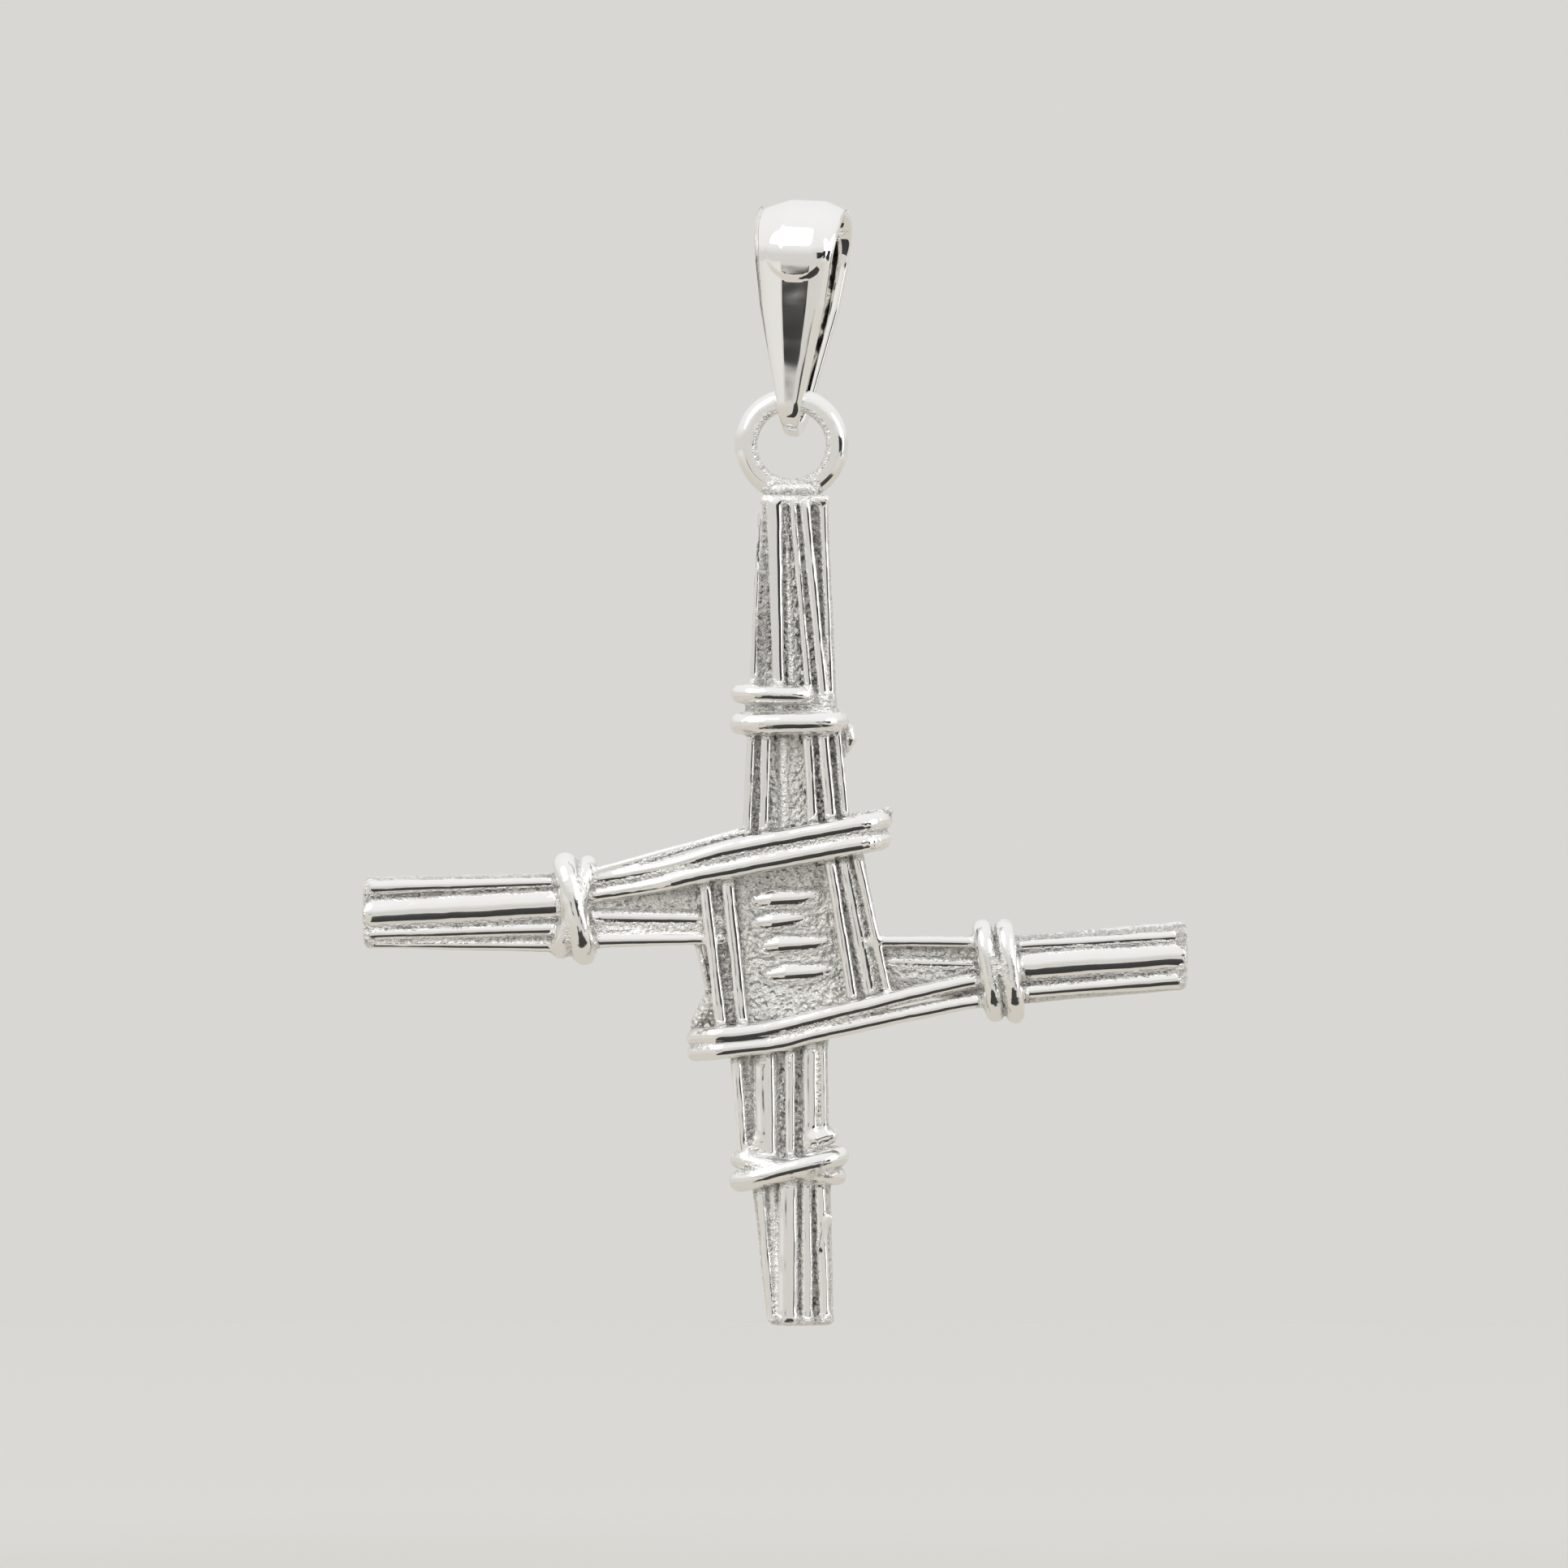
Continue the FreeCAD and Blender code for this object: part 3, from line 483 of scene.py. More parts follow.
@dataclass
class Skin:
    """A net of four-sided faces over the surface where a distance formula is zero."""

    weave: Weave
    low: Triple
    high: Triple
    cell: float = 0.07
    least_square: float = 0.05
    longest_move: float = 0.6

    def lines(self) -> list[Array]:
        """The grid's places along each axis, evenly about the mid plane in depth.

        Returns:
            The places across, in depth and in height.
        """
        made = []
        for axis in range(3):
            if axis == 1:
                half = np.arange(0.0, self.high[1] + self.cell, self.cell)
                made.append(np.concatenate([-half[:0:-1], half]))
            else:
                made.append(np.arange(self.low[axis], self.high[axis] + self.cell, self.cell))
        return made

    def net(self) -> tuple[Array, Array]:
        """The net: a vertex in each cell that the surface crosses, a face round each crossed edge.

        A vertex is the mean of the points where the surface crosses the cell's twelve edges, each
        found by a straight line between the distances at the edge's ends.

        Returns:
            Vertices and faces, as rows.
        """
        x, y, z = self.lines()
        half = y[len(y) // 2 :]
        front = self.weave.distance((x[:, None, None], half[None, :, None], z[None, None, :]))[0]
        level = np.concatenate([front[:, :0:-1], front], axis=1)
        inside = level < 0
        tally = sum(inside[i : i + len(x) - 1, j : j + len(y) - 1, k : k + len(z) - 1].astype(np.int8)
                    for i in (0, 1) for j in (0, 1) for k in (0, 1))
        crossed = (tally > 0) & (tally < 8)
        cells = np.argwhere(crossed)
        number = np.full(crossed.shape, -1, np.int64)
        number[crossed] = np.arange(len(cells))
        place, count = np.zeros((len(cells), 3)), np.zeros(len(cells))
        for axis in range(3):
            others = [other for other in range(3) if other != axis]
            for one in (0, 1):
                for two in (0, 1):
                    start = np.zeros(3, int)
                    start[others] = one, two
                    end = start.copy()
                    end[axis] = 1
                    a = level[tuple((cells + start).T)]
                    b = level[tuple((cells + end).T)]
                    hit = (a < 0) != (b < 0)
                    share = a[hit] / (a[hit] - b[hit])
                    place[hit] += start + share[:, None] * (end - start)
                    count[hit] += 1
        points = np.array([x[0], y[0], z[0]]) + self.cell * (cells + place / count[:, None])
        faces = []
        for axis in range(3):
            one, two = (axis + 1) % 3, (axis + 2) % 3
            shorter = [slice(None)] * 3
            shorter[axis] = slice(None, -1)
            longer = [slice(None)] * 3
            longer[axis] = slice(1, None)
            edges = np.argwhere(inside[tuple(shorter)] != inside[tuple(longer)])
            outward = inside[tuple(edges.T)]
            corners = []
            for step_one, step_two in ((1, 1), (0, 1), (0, 0), (1, 0)):
                shift = np.zeros(3, int)
                shift[one], shift[two] = step_one, step_two
                corners.append(number[tuple((edges - shift).T)])
            quads = np.column_stack(corners)
            quads[~outward] = quads[~outward, ::-1]
            faces.append(quads)
        return points, np.vstack(faces)

    def settle(self, points: Array, rounds: int = 3) -> tuple[Array, Array]:
        """Moves points along the slope onto the surface: p - f g / |g|^2, a few times.

        Args:
            points: Places near the surface.
            rounds: How many times they are moved.

        Returns:
            The places, and the outward directions there.
        """
        for _ in range(rounds):
            value, slope = self.weave.slope(points)
            square = np.maximum((slope**2).sum(1), self.least_square)
            move = -(value / square)[:, None] * slope
            length = np.linalg.norm(move, axis=1, keepdims=True)
            share = self.longest_move * self.cell / np.maximum(length, SMALL)
            points = points + move * np.minimum(1.0, share)
        slope = self.weave.slope(points)[1]
        return points, slope / np.maximum(np.linalg.norm(slope, axis=1, keepdims=True), SMALL)


def make_mesh(name: str, points: Array, faces: Array, values: dict[str, Array]) -> Object:
    """A smooth mesh object with a value at each vertex for each named attribute.

    Args:
        name: The piece's name.
        points: Places in metres, one row each.
        faces: Vertex numbers, one row for each face.
        values: A number for each vertex, by attribute name.

    Returns:
        The object, linked to the scene.
    """
    mesh = bpy.data.meshes.new(name)
    mesh.from_pydata(points.tolist(), [], faces.tolist())
    mesh.polygons.foreach_set("use_smooth", np.ones(len(mesh.polygons), bool))
    for key, value in values.items():
        attribute = mesh.attributes.new(key, "FLOAT", "POINT")
        attribute.data.foreach_set("value", value.astype(np.float32))
    mesh.update()
    piece = bpy.data.objects.new(name, mesh)
    bpy.context.scene.collection.objects.link(piece)
    return piece


def thin_out(points: Array, faces: Array, most: int) -> tuple[Array, Array]:
    """Joins the edges that matter least until no more than a number of triangles is left.

    Args:
        points: Places, one row each.
        faces: Vertex numbers, one row of four for each face.
        most: The number of triangles to keep.

    Returns:
        Places and triangles, as rows.
    """
    rough = make_mesh("rough_skin", points, faces, {})
    thinner = rough.modifiers.new("thinner", "DECIMATE")
    thinner.ratio = min(1.0, most / (2 * len(faces)))
    thinner.use_collapse_triangulate = True
    shape = rough.evaluated_get(bpy.context.evaluated_depsgraph_get()).to_mesh()
    kept = np.empty(3 * len(shape.vertices))
    shape.vertices.foreach_get("co", kept)
    corners = np.empty(len(shape.loops), np.int64)
    shape.loops.foreach_get("vertex_index", corners)
    old = rough.data
    bpy.data.objects.remove(rough)
    bpy.data.meshes.remove(old)
    return kept.reshape(-1, 3), corners.reshape(-1, 3)


@dataclass
class Casting:
    """The cross and its ring: one casting, which swings on the bail."""

    node: str = "cross"
    slot: str = "cast_silver"
    left_reach: float = 13.87
    bottom_reach: float = 12.26
    cell: float = 0.07
    triangles: int = 190000
    low: Triple = (-14.3, 0.0, -12.7)
    high: Triple = (12.9, 1.7, 18.0)
    hollow_probe: float = 0.14
    hollow_gain: float = 1.5
    frost_start: float = 0.62
    frost_span: float = 0.2
    weave: Weave = field(default_factory=Weave)

    def top_arm(self) -> None:
        """Adds the two bundles of the top arm, and the rim at its end."""
        outer = Bundle(Way.TOP, (7.2, -1.5, 1.22), (14.4, -1.02, 0.92), (
            Reed((-1.46, -1.2), (0.13, 0.05), 0.84, (7.2, 13.75)),
            Reed((-0.57, -0.74), (0.17, 0.26), 0.99),
            Reed((-0.12, -0.42), (0.11, 0.07), 0.77),
            Reed((0.45, -0.17), (0.13, 0.1), 0.95),
            Reed((0.91, 0.21), (0.15, 0.17), 1.0),
            Reed((1.08, 0.81), (0.12, 0.12), 0.88),
        ))
        inner = Bundle(Way.TOP, (2.9, -1.7, 1.7), (7.2, -1.5, 1.3), (
            Reed((-1.62, -1.45), (0.13, 0.13), 0.88),
            Reed((-1.09, -0.97), (0.16, 0.16), 0.95),
            Reed((-0.4, -0.45), (0.12, 0.12), 0.77),
            Reed((0.55, 0.32), (0.18, 0.16), 0.95),
            Reed((1.17, 0.78), (0.2, 0.18), 0.98),
            Reed((1.64, 1.24), (0.13, 0.12), 0.88),
        ))
        self.add(outer, inner)
        self.weave.cords.append(Strand(((-1.0, 0.74, 14.12), (0.88, 0.74, 14.12)), (0.16, 0.16)))

    def bottom_arm(self) -> None:
        """Adds the two bundles of the bottom arm, and the short reed that crosses its edge."""
        inner = Bundle(Way.BOTTOM, (-2.9, -2.15, 0.9), (-7.4, -1.72, 0.97), (
            Reed((-2.0, -1.7), (0.17, 0.15), 0.88),
            Reed((-1.04, -0.95), (0.36, 0.34), 0.98),
            Reed((-0.22, -0.22), (0.16, 0.15), 0.98),
            Reed((0.42, 0.42), (0.24, 0.22), 0.96),
            Reed((0.78, 0.84), (0.12, 0.12), 0.86),
        ))
        outer = Bundle(Way.BOTTOM, (-7.4, -1.4, 1.0), (-12.5, -0.86, 1.12), (
            Reed((-1.22, -0.8), (0.13, 0.13), 0.86),
            Reed((-0.8, -0.62), (0.1, 0.1), 0.8),
            Reed((-0.27, -0.3), (0.31, 0.34), 1.0),
            Reed((0.3, 0.33), (0.17, 0.18), 0.93),
            Reed((0.72, 0.9), (0.16, 0.17), 0.9),
            Reed((1.02, 0.7), (0.12, 0.1), 0.91, (-8.8, -9.75)),
        ))
        self.add(inner, outer)

    def left_arm(self) -> None:
        """Adds the two bundles of the left arm."""
        outer = Bundle(Way.LEFT, (-7.1, -0.28, 2.15), (-14.1, -0.12, 2.0), (
            Reed((1.93, 1.72), (0.15, 0.22), 0.9),
            Reed((1.25, 0.87), (0.5, 0.45), 1.02),
            Reed((0.44, 0.22), (0.2, 0.17), 0.9),
            Reed((-0.12, -0.09), (0.17, 0.11), 0.8),
        ))
        inner = Bundle(Way.LEFT, (-2.4, 0.02, 1.9), (-7.1, -0.17, 2.1), (
            Reed((0.73, 0.8), (0.2, 0.2), 0.82),
            Reed((0.4, 0.38), (0.1, 0.1), 0.78),
            Reed((0.1, 0.02), (0.16, 0.22), 0.88),
            Reed((3.5, 2.26), (0.12, 0.13), 0.88, (-1.87, -6.4)),
        ))
        self.add(outer, inner)

    def right_arm(self) -> None:
        """Adds the two bundles of the right arm."""
        outer = Bundle(Way.RIGHT, (6.4, -1.98, 0.06), (12.7, -1.44, 0.5), (
            Reed((0.0, 0.56), (0.12, 0.13), 0.55),
            Reed((-0.16, 0.22), (0.14, 0.16), 0.88),
            Reed((-0.86, -0.42), (0.48, 0.43), 1.02),
            Reed((-1.68, -1.16), (0.16, 0.28), 0.94),
        ))
        inner = Bundle(Way.RIGHT, (2.4, -1.5, 0.12), (6.4, -1.95, 0.1), (
            Reed((0.02, 0.0), (0.17, 0.16), 0.92),
            Reed((-0.62, -0.74), (0.13, 0.15), 0.8),
        ))
        self.add(outer, inner)

    def posts(self) -> None:
        """Adds the two upright bundles of the crossing, and the thin reeds outside them."""
        left = Bundle(Way.TOP, (-2.7, -2.72, -1.5), (2.1, -3.12, -1.72), (
            Reed((-2.42, -2.98), (0.18, 0.18), 1.0),
            Reed((-1.74, -2.24), (0.19, 0.2), 1.0),
            Reed((-2.76, -3.2), (0.1, 0.1), 0.72, (-1.8, 0.0)),
        ))
        right = Bundle(Way.TOP, (-1.7, 1.7, 2.95), (3.6, 0.7, 1.9), (
            Reed((1.76, 0.88), (0.17, 0.17), 0.98),
            Reed((2.34, 1.3), (0.22, 0.22), 0.86),
            Reed((2.92, 1.72), (0.13, 0.15), 0.97),
        ))
        self.add(left, right)

    def bands(self) -> None:
        """Adds the two slanting bands, which fold round the crossing."""
        for line, radii, depths, side in (
            (((-6.6, 1.97), (-4.2, 2.39), (-2.03, 2.99), (1.85, 3.72)), (0.23, 0.31), (0.72, 1.06), 1),
            (((-6.6, 1.48), (-4.73, 1.77), (-2.88, 2.2), (1.8, 3.1)), (0.24, 0.33), (0.74, 1.07), 1),
            (((6.1, -1.18), (4.62, -1.45), (1.09, -2.31), (-1.04, -2.83), (-2.35, -2.98)),
             (0.23, 0.3), (0.74, 1.05), -1),
            (((6.1, -1.84), (4.62, -2.1), (1.09, -2.83), (-0.6, -3.24), (-2.35, -3.45)),
             (0.22, 0.28), (0.72, 1.05), -1),
        ):
            self.weave.reeds.append(Band(line, radii, depths, side).strand())
        self.weave.lumps.append(Strand(((1.6, 0.3, 3.9), (2.95, 0.32, 4.2)), (0.2, 0.12)))

    def middle(self) -> None:
        """Adds the sunk field of the crossing, its four short reeds and the lumps beside it."""
        self.weave.webs.append(Web(Way.TOP, (-2.55, -2.3, 2.35), (3.2, -2.4, 1.3), 0.52))
        self.weave.webs.append(Web(Way.TOP, (-3.4, -2.2, 0.9), (-2.3, -2.3, 1.2), 0.52))
        for height, left, right in ((1.38, -1.3, 0.62), (0.68, -1.25, 0.3), (-0.08, -1.05, 1.0),
                                    (-0.99, -0.85, 1.05)):
            line = ((left, 0.51, height - 0.09), (left + 0.5, 0.55, height - 0.03),
                    (right - 0.5, 0.53, height + 0.03), (right, 0.5, height + 0.12))
            self.weave.ridges.append(Strand(line, (0.22, 0.3, 0.24, 0.2), 0.7))
        self.weave.lumps.append(Strand(((-2.75, 0.5, -1.9), (-3.2, 0.35, -2.6)), (0.3, 0.22)))

    def ties(self) -> None:
        """Adds the four ties, their crossing cords and their knots."""
        self.weave.webs.extend([
            Web(Way.TOP, (6.75, -1.62, 1.3), (8.0, -1.62, 1.1), 0.88),
            Web(Way.BOTTOM, (-7.6, -1.6, 1.05), (-6.9, -1.6, 1.05), 0.74),
            Web(Way.LEFT, (-7.5, -0.35, 2.35), (-6.75, -0.35, 2.35), 0.82),
            Web(Way.RIGHT, (6.0, -2.1, 0.25), (6.9, -2.1, 0.25), 0.82),
        ])
        for turn in (
            Turn((-1.85, 7.93), (0.42, 7.86), 0.98, 0.3),
            Turn((-1.8, 6.97), (1.28, 7.02), 1.02, 0.37),
            Turn((-7.42, 2.48), (-6.8, -0.36), 1.06, 0.39),
            Turn((-6.7, 2.46), (-7.55, -0.24), 0.96, 0.31),
            Turn((5.92, 0.42), (6.34, -2.27), 1.0, 0.31),
            Turn((6.62, 0.45), (6.99, -2.32), 1.03, 0.31),
            Turn((-1.84, -7.66), (1.32, -6.86), 1.06, 0.34),
            Turn((-1.86, -6.96), (1.3, -7.5), 0.94, 0.29),
        ):
            self.weave.cords.append(turn.strand())
        self.weave.webs.append(Web(Way.RIGHT, (12.15, -1.4, 0.46), (12.9, -1.44, 0.5), 0.86))
        self.weave.webs.append(Web(Way.BOTTOM, (-11.95, -0.84, 1.1), (-12.7, -0.86, 1.12), 0.84))
        self.weave.webs.append(Web(Way.LEFT, (-13.6, -0.1, 1.98), (-14.3, -0.1, 1.98), 0.8))
        self.weave.cords.append(Strand(((6.25, 1.1, -0.5), (6.9, 1.12, -1.45)), (0.15, 0.15)))
        knob = ((1.62, 0.2, 6.75), (1.68, 0.2, 6.5), (1.5, 0.2, 6.05))
        self.weave.ridges.append(Strand(knob, (0.24, 0.24, 0.14)))
        self.weave.ridges.append(Strand(((0.55, 0.7, 7.5), (0.95, 0.7, 7.3)), (0.26, 0.2)))
        self.weave.ridges.append(Strand(((0.55, 0.72, -6.35), (1.05, 0.6, -6.2)), (0.3, 0.26)))
        self.weave.ridges.append(Strand(((-1.5, 0.6, -6.7), (-1.2, 0.7, -6.4)), (0.25, 0.2)))

    def add(self, *bundles: Bundle) -> None:
        """Adds the reeds and webs of bundles.

        Args:
            *bundles: The bundles.
        """
        for bundle in bundles:
            self.weave.reeds.extend(bundle.strands())
            self.weave.webs.append(bundle.web())

    def build(self) -> Object:
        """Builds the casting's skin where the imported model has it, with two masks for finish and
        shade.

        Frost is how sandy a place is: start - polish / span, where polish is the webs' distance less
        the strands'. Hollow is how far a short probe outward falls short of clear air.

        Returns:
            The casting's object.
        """
        for part in (self.top_arm, self.bottom_arm, self.left_arm, self.right_arm, self.posts,
                     self.bands, self.middle, self.ties):
            part()
        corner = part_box(self.node)[0]
        middle = np.array([corner.x / MM + self.left_reach, 0.0, corner.z / MM + self.bottom_reach])
        skin = Skin(self.weave, self.low, self.high, self.cell)
        points, faces = thin_out(*skin.net(), self.triangles)
        points, outward = skin.settle(points)
        polish = self.weave.distance(tuple(points.T))[1]
        probe = points + outward * self.hollow_probe
        clear = self.weave.distance(tuple(probe.T))[0]
        # Hollow marks recesses: the silver gives them sandy skin and paints shade into their colour.
        short = (self.hollow_probe - clear) / self.hollow_probe
        masks = {"frost": np.clip(self.frost_start - polish / self.frost_span, 0.0, 1.0),
                 "hollow": np.clip(short * self.hollow_gain, 0.0, 1.0)}
        piece = make_mesh("woven_cross", (points + middle) * MM, faces, masks)
        piece.data.normals_split_custom_set_from_vertices(outward.tolist())
        LOG.info("casting: %d points, %d faces", len(points), len(faces))
        return piece

    def dress(self, piece: Object, silver: Material) -> None:
        """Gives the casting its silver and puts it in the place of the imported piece.

        Args:
            piece: The casting's object.
            silver: Its material.
        """
        piece.data.materials.append(silver)
        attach(piece, "cross")
        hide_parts(self.node)


@dataclass
class Bail:
    """The loop of strip that the ring hangs on: wide at the chain and narrow at its foot."""

    node: str = "bail"
    slot: str = "polished_silver"
    reach: float = 5.85
    top_bore: float = 1.35
    foot_bore: float = 0.7
    strip: float = 0.52
    top_width: float = 2.95
    waist_width: float = 2.1
    waist_drop: float = 2.93
    foot_width: float = 0.4
    shoulder_foot: float = -0.55
    shoulder_rise: float = 1.07
    shoulder_cut: float = 0.42
    facet_share: float = 0.4
    facet_shift: float = 0.05
    bevel_share: float = 0.1
    facet_round: float = 0.03
    lean: float = 3.0
    turn: float = -10.0
    oval_rise: float = 0.04
    oval_rim: float = 0.12
    oval_place: Pair = (0.08, -1.15)
    oval_size: Pair = (1.05, 0.96)
    around: int = 300
    across: int = 160
    squareness: float = 0.34
    path_steps: int = 4096
    section_steps: int = 20001

    def path(self) -> tuple[Array, Array]:
        """The middle of the strip: two arcs joined by their tangents, and the directions outward.

        Returns:
            Points (y, z) and unit directions (y, z), as rows, round the closed loop.
        """
        over, under = self.top_bore + self.strip / 2, self.foot_bore + self.strip / 2
        apart = self.reach - self.top_bore
        lean = math.asin((over - under) / apart)
        top, foot = np.array([0.0, -self.top_bore]), np.array([0.0, -self.reach])
        rays, arcs = [], []
        for middle, radius, start, end in ((top, over, -lean, math.pi + lean),
                                           (foot, under, math.pi + lean, 2 * math.pi - lean)):
            angle = np.linspace(start, end, self.path_steps)
            rays.append(np.column_stack([np.cos(angle), np.sin(angle)]))
            arcs.append(middle + radius * rays[-1])
        line = np.vstack([*arcs, arcs[0][:1]])
        facing = np.vstack([*rays, rays[0][:1]])
        travel = np.concatenate([[0.0], np.cumsum(np.linalg.norm(np.diff(line, axis=0), axis=1))])
        stops = np.linspace(0.0, travel[-1], self.around, endpoint=False)
        points = np.column_stack([np.interp(stops, travel, line[:, axis]) for axis in (0, 1)])
        outward = np.column_stack([np.interp(stops, travel, facing[:, axis]) for axis in (0, 1)])
        return points, outward / np.linalg.norm(outward, axis=1, keepdims=True)

    def width(self, height: Array) -> Array:
        """The strip's width: straight tapers from top to waist and from waist to foot.

        Above the shoulder's foot the cube of the share of its rise is cut off.

        Args:
            height: Heights of the strip's middle.

        Returns:
            The widths there.
        """
        levels = [-(self.reach + self.foot_bore + self.strip), -self.waist_drop, self.strip]
        widths = [self.foot_width, self.waist_width, self.top_width]
        shoulder = np.clip((height - self.shoulder_foot) / self.shoulder_rise, 0.0, 1.0)
        return np.interp(height, levels, widths) - self.shoulder_cut * shoulder**3

    def section(self) -> tuple[Array, Array]:
        """The strip's section: a superellipse, x = cos(a) ^ e and d = sin(a) ^ e, with even steps.

        Returns:
            Places across and in depth, each from -1 to 1.
        """
        angle = np.linspace(0.0, 2 * math.pi, self.section_steps)
        cosine = np.sign(np.cos(angle)) * np.abs(np.cos(angle)) ** self.squareness
        sine = np.sign(np.sin(angle)) * np.abs(np.sin(angle)) ** self.squareness
        step = np.hypot(np.diff(cosine) * self.waist_width, np.diff(sine) * self.strip)
        travel = np.concatenate([[0.0], np.cumsum(step)])
        stops = np.linspace(0.0, travel[-1], self.across, endpoint=False)
        return np.interp(stops, travel, cosine), np.interp(stops, travel, sine)

    def build(self) -> Object:
        """Builds the bail: a crowned strip section carried round the teardrop.

        The outer side of the section has a flat facet near its middle and falls away evenly on both
        sides of it: the drop is slope * (|x - shift| - facet / 2), bent softly at the facet's edge
        as (u + sqrt(u * u + c * c)) / 2. The plain oval stands a little above the facet.

        Returns:
            The bail's object.
        """
        points, outward = self.path()
        cosine, sine = self.section()
        width = self.width(points[:, 1])[:, None]
        place_x = width / 2 * cosine[None, :]
        depth = self.strip / 2 * sine[None, :]
        beyond = np.abs(place_x - width * self.facet_shift) - width * self.facet_share / 2
        slope = self.bevel_share / (0.5 - self.facet_share / 2)
        drop = slope * (beyond + np.sqrt(beyond**2 + self.facet_round**2)) / 2
        depth = depth - drop * np.clip(sine[None, :] * 2, 0.0, 1.0)
        oval = self.oval(place_x, points[:, :1], points[:, 1:]) * (sine[None, :] > 0.5)
        depth = depth + self.oval_rise * oval
        y = points[:, :1] + outward[:, :1] * depth
        z = points[:, 1:] + outward[:, 1:] * depth
        loop = np.stack([place_x, y, z], axis=-1).reshape(-1, 3)
        spin = Matrix.Rotation(math.radians(self.turn), 3, "Z")
        tip = Matrix.Rotation(math.radians(self.lean), 3, "Y")
        loop = loop @ np.array(tip @ spin).T
        rows, columns = np.arange(self.around)[:, None], np.arange(self.across)[None, :]
        after, beside = (rows + 1) % self.around, (columns + 1) % self.across
        faces = np.stack([rows * self.across + columns, rows * self.across + beside,
                          after * self.across + beside, after * self.across + columns], axis=-1)
        faces = faces.reshape(-1, 4)
        piece = make_mesh("looped_bail", loop * MM, faces, {})
        LOG.info("bail: %d points, %d faces", len(loop), len(faces))
        return piece

    def oval(self, x: Array, y: Array, z: Array) -> Array:
        """How far inside the plain oval on the upper front places are.

        It is (1 - r) / rim, where r is the distance from the oval's middle in shares of its size.

        Args:
            x: Places across.
            y: Depths, of which only the front ones count.
            z: Heights.

        Returns:
            Shares, from 0 at the oval's rim to 1.
        """
        across = (x - self.oval_place[0]) / self.oval_size[0]
        radius = np.sqrt(across**2 + ((z - self.oval_place[1]) / self.oval_size[1]) ** 2)
        return np.clip((1.0 - radius) / self.oval_rim, 0.0, 1.0) * (y < 0)

    def dress(self, piece: Object, silver: Material) -> None:
        """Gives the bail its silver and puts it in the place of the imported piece.

        Args:
            piece: The bail's object.
            silver: Its material.
        """
        piece.data.materials.append(silver)
        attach(piece, "bail")
        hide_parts(self.node)


class Nodes:
    """A short way to add shader nodes to a tree and join them."""

    def __init__(self, tree: NodeTree) -> None:
        """Keeps the tree."""
        self.tree = tree

    def add(self, kind: str, settings: dict | None = None, **inputs: object) -> Node:
        """Adds a node, sets its properties, and sets or joins its inputs.

        Args:
            kind: The node's type.
            settings: Properties by name.
            **inputs: Values or sockets by input name, with spaces written as underscores, or by i
                and the input's number.

        Returns:
            The node.
        """
        node = self.tree.nodes.new(kind)
        for key, value in (settings or {}).items():
            setattr(node, key, value)
        for key, value in inputs.items():
            numbered = key[0] == "i" and key[1:].isdigit()
            socket = node.inputs[int(key[1:]) if numbered else key.replace("_", " ")]
            if isinstance(value, NodeSocket):
                self.tree.links.new(value, socket)
            else:
                socket.default_value = value
        return node

    def math(self, operation: str, first: object, second: object,
             clamp: bool = False) -> NodeSocket:
        """A Math node's result for two numbers or sockets."""
        settings = {"operation": operation, "use_clamp": clamp}
        return self.add("ShaderNodeMath", settings, i0=first, i1=second).outputs[0]

    def mix(self, share: NodeSocket, first: object, second: object) -> NodeSocket:
        """A Mix node's colour between two colours or sockets."""
        settings = {"data_type": "RGBA"}
        return self.add("ShaderNodeMix", settings, i0=share, i6=first, i7=second).outputs[2]

    def join(self, source: NodeSocket, target: NodeSocket) -> None:
        """Joins an output to an input."""
        self.tree.links.new(source, target)


def make_material(name: str) -> tuple[Material, Nodes, Node]:
    """A new material.

    Args:
        name: Its name.

    Returns:
        The material, its node helper and its Principled shader.
    """
    material = bpy.data.materials.new(name)
    material.use_nodes = True
    return material, Nodes(material.node_tree), material.node_tree.nodes["Principled BSDF"]


def make_group(name: str, inputs: dict[str, float],
               outputs: tuple[str, ...]) -> tuple[NodeTree, Nodes, Node, Node]:
    """A new shader node group with named inputs and outputs.

    Args:
        name: The group's name.
        inputs: Input names with their first values.
        outputs: Output names.

    Returns:
        The group, its node helper, its input node and its output node.
    """
    group = bpy.data.node_groups.new(name, "ShaderNodeTree")
    for key, value in inputs.items():
        socket = group.interface.new_socket(key, in_out="INPUT", socket_type="NodeSocketFloat")
        socket.default_value = value
    for key in outputs:
        group.interface.new_socket(key, in_out="OUTPUT", socket_type="NodeSocketFloat")
    nodes = Nodes(group)
    return group, nodes, nodes.add("NodeGroupInput"), nodes.add("NodeGroupOutput")


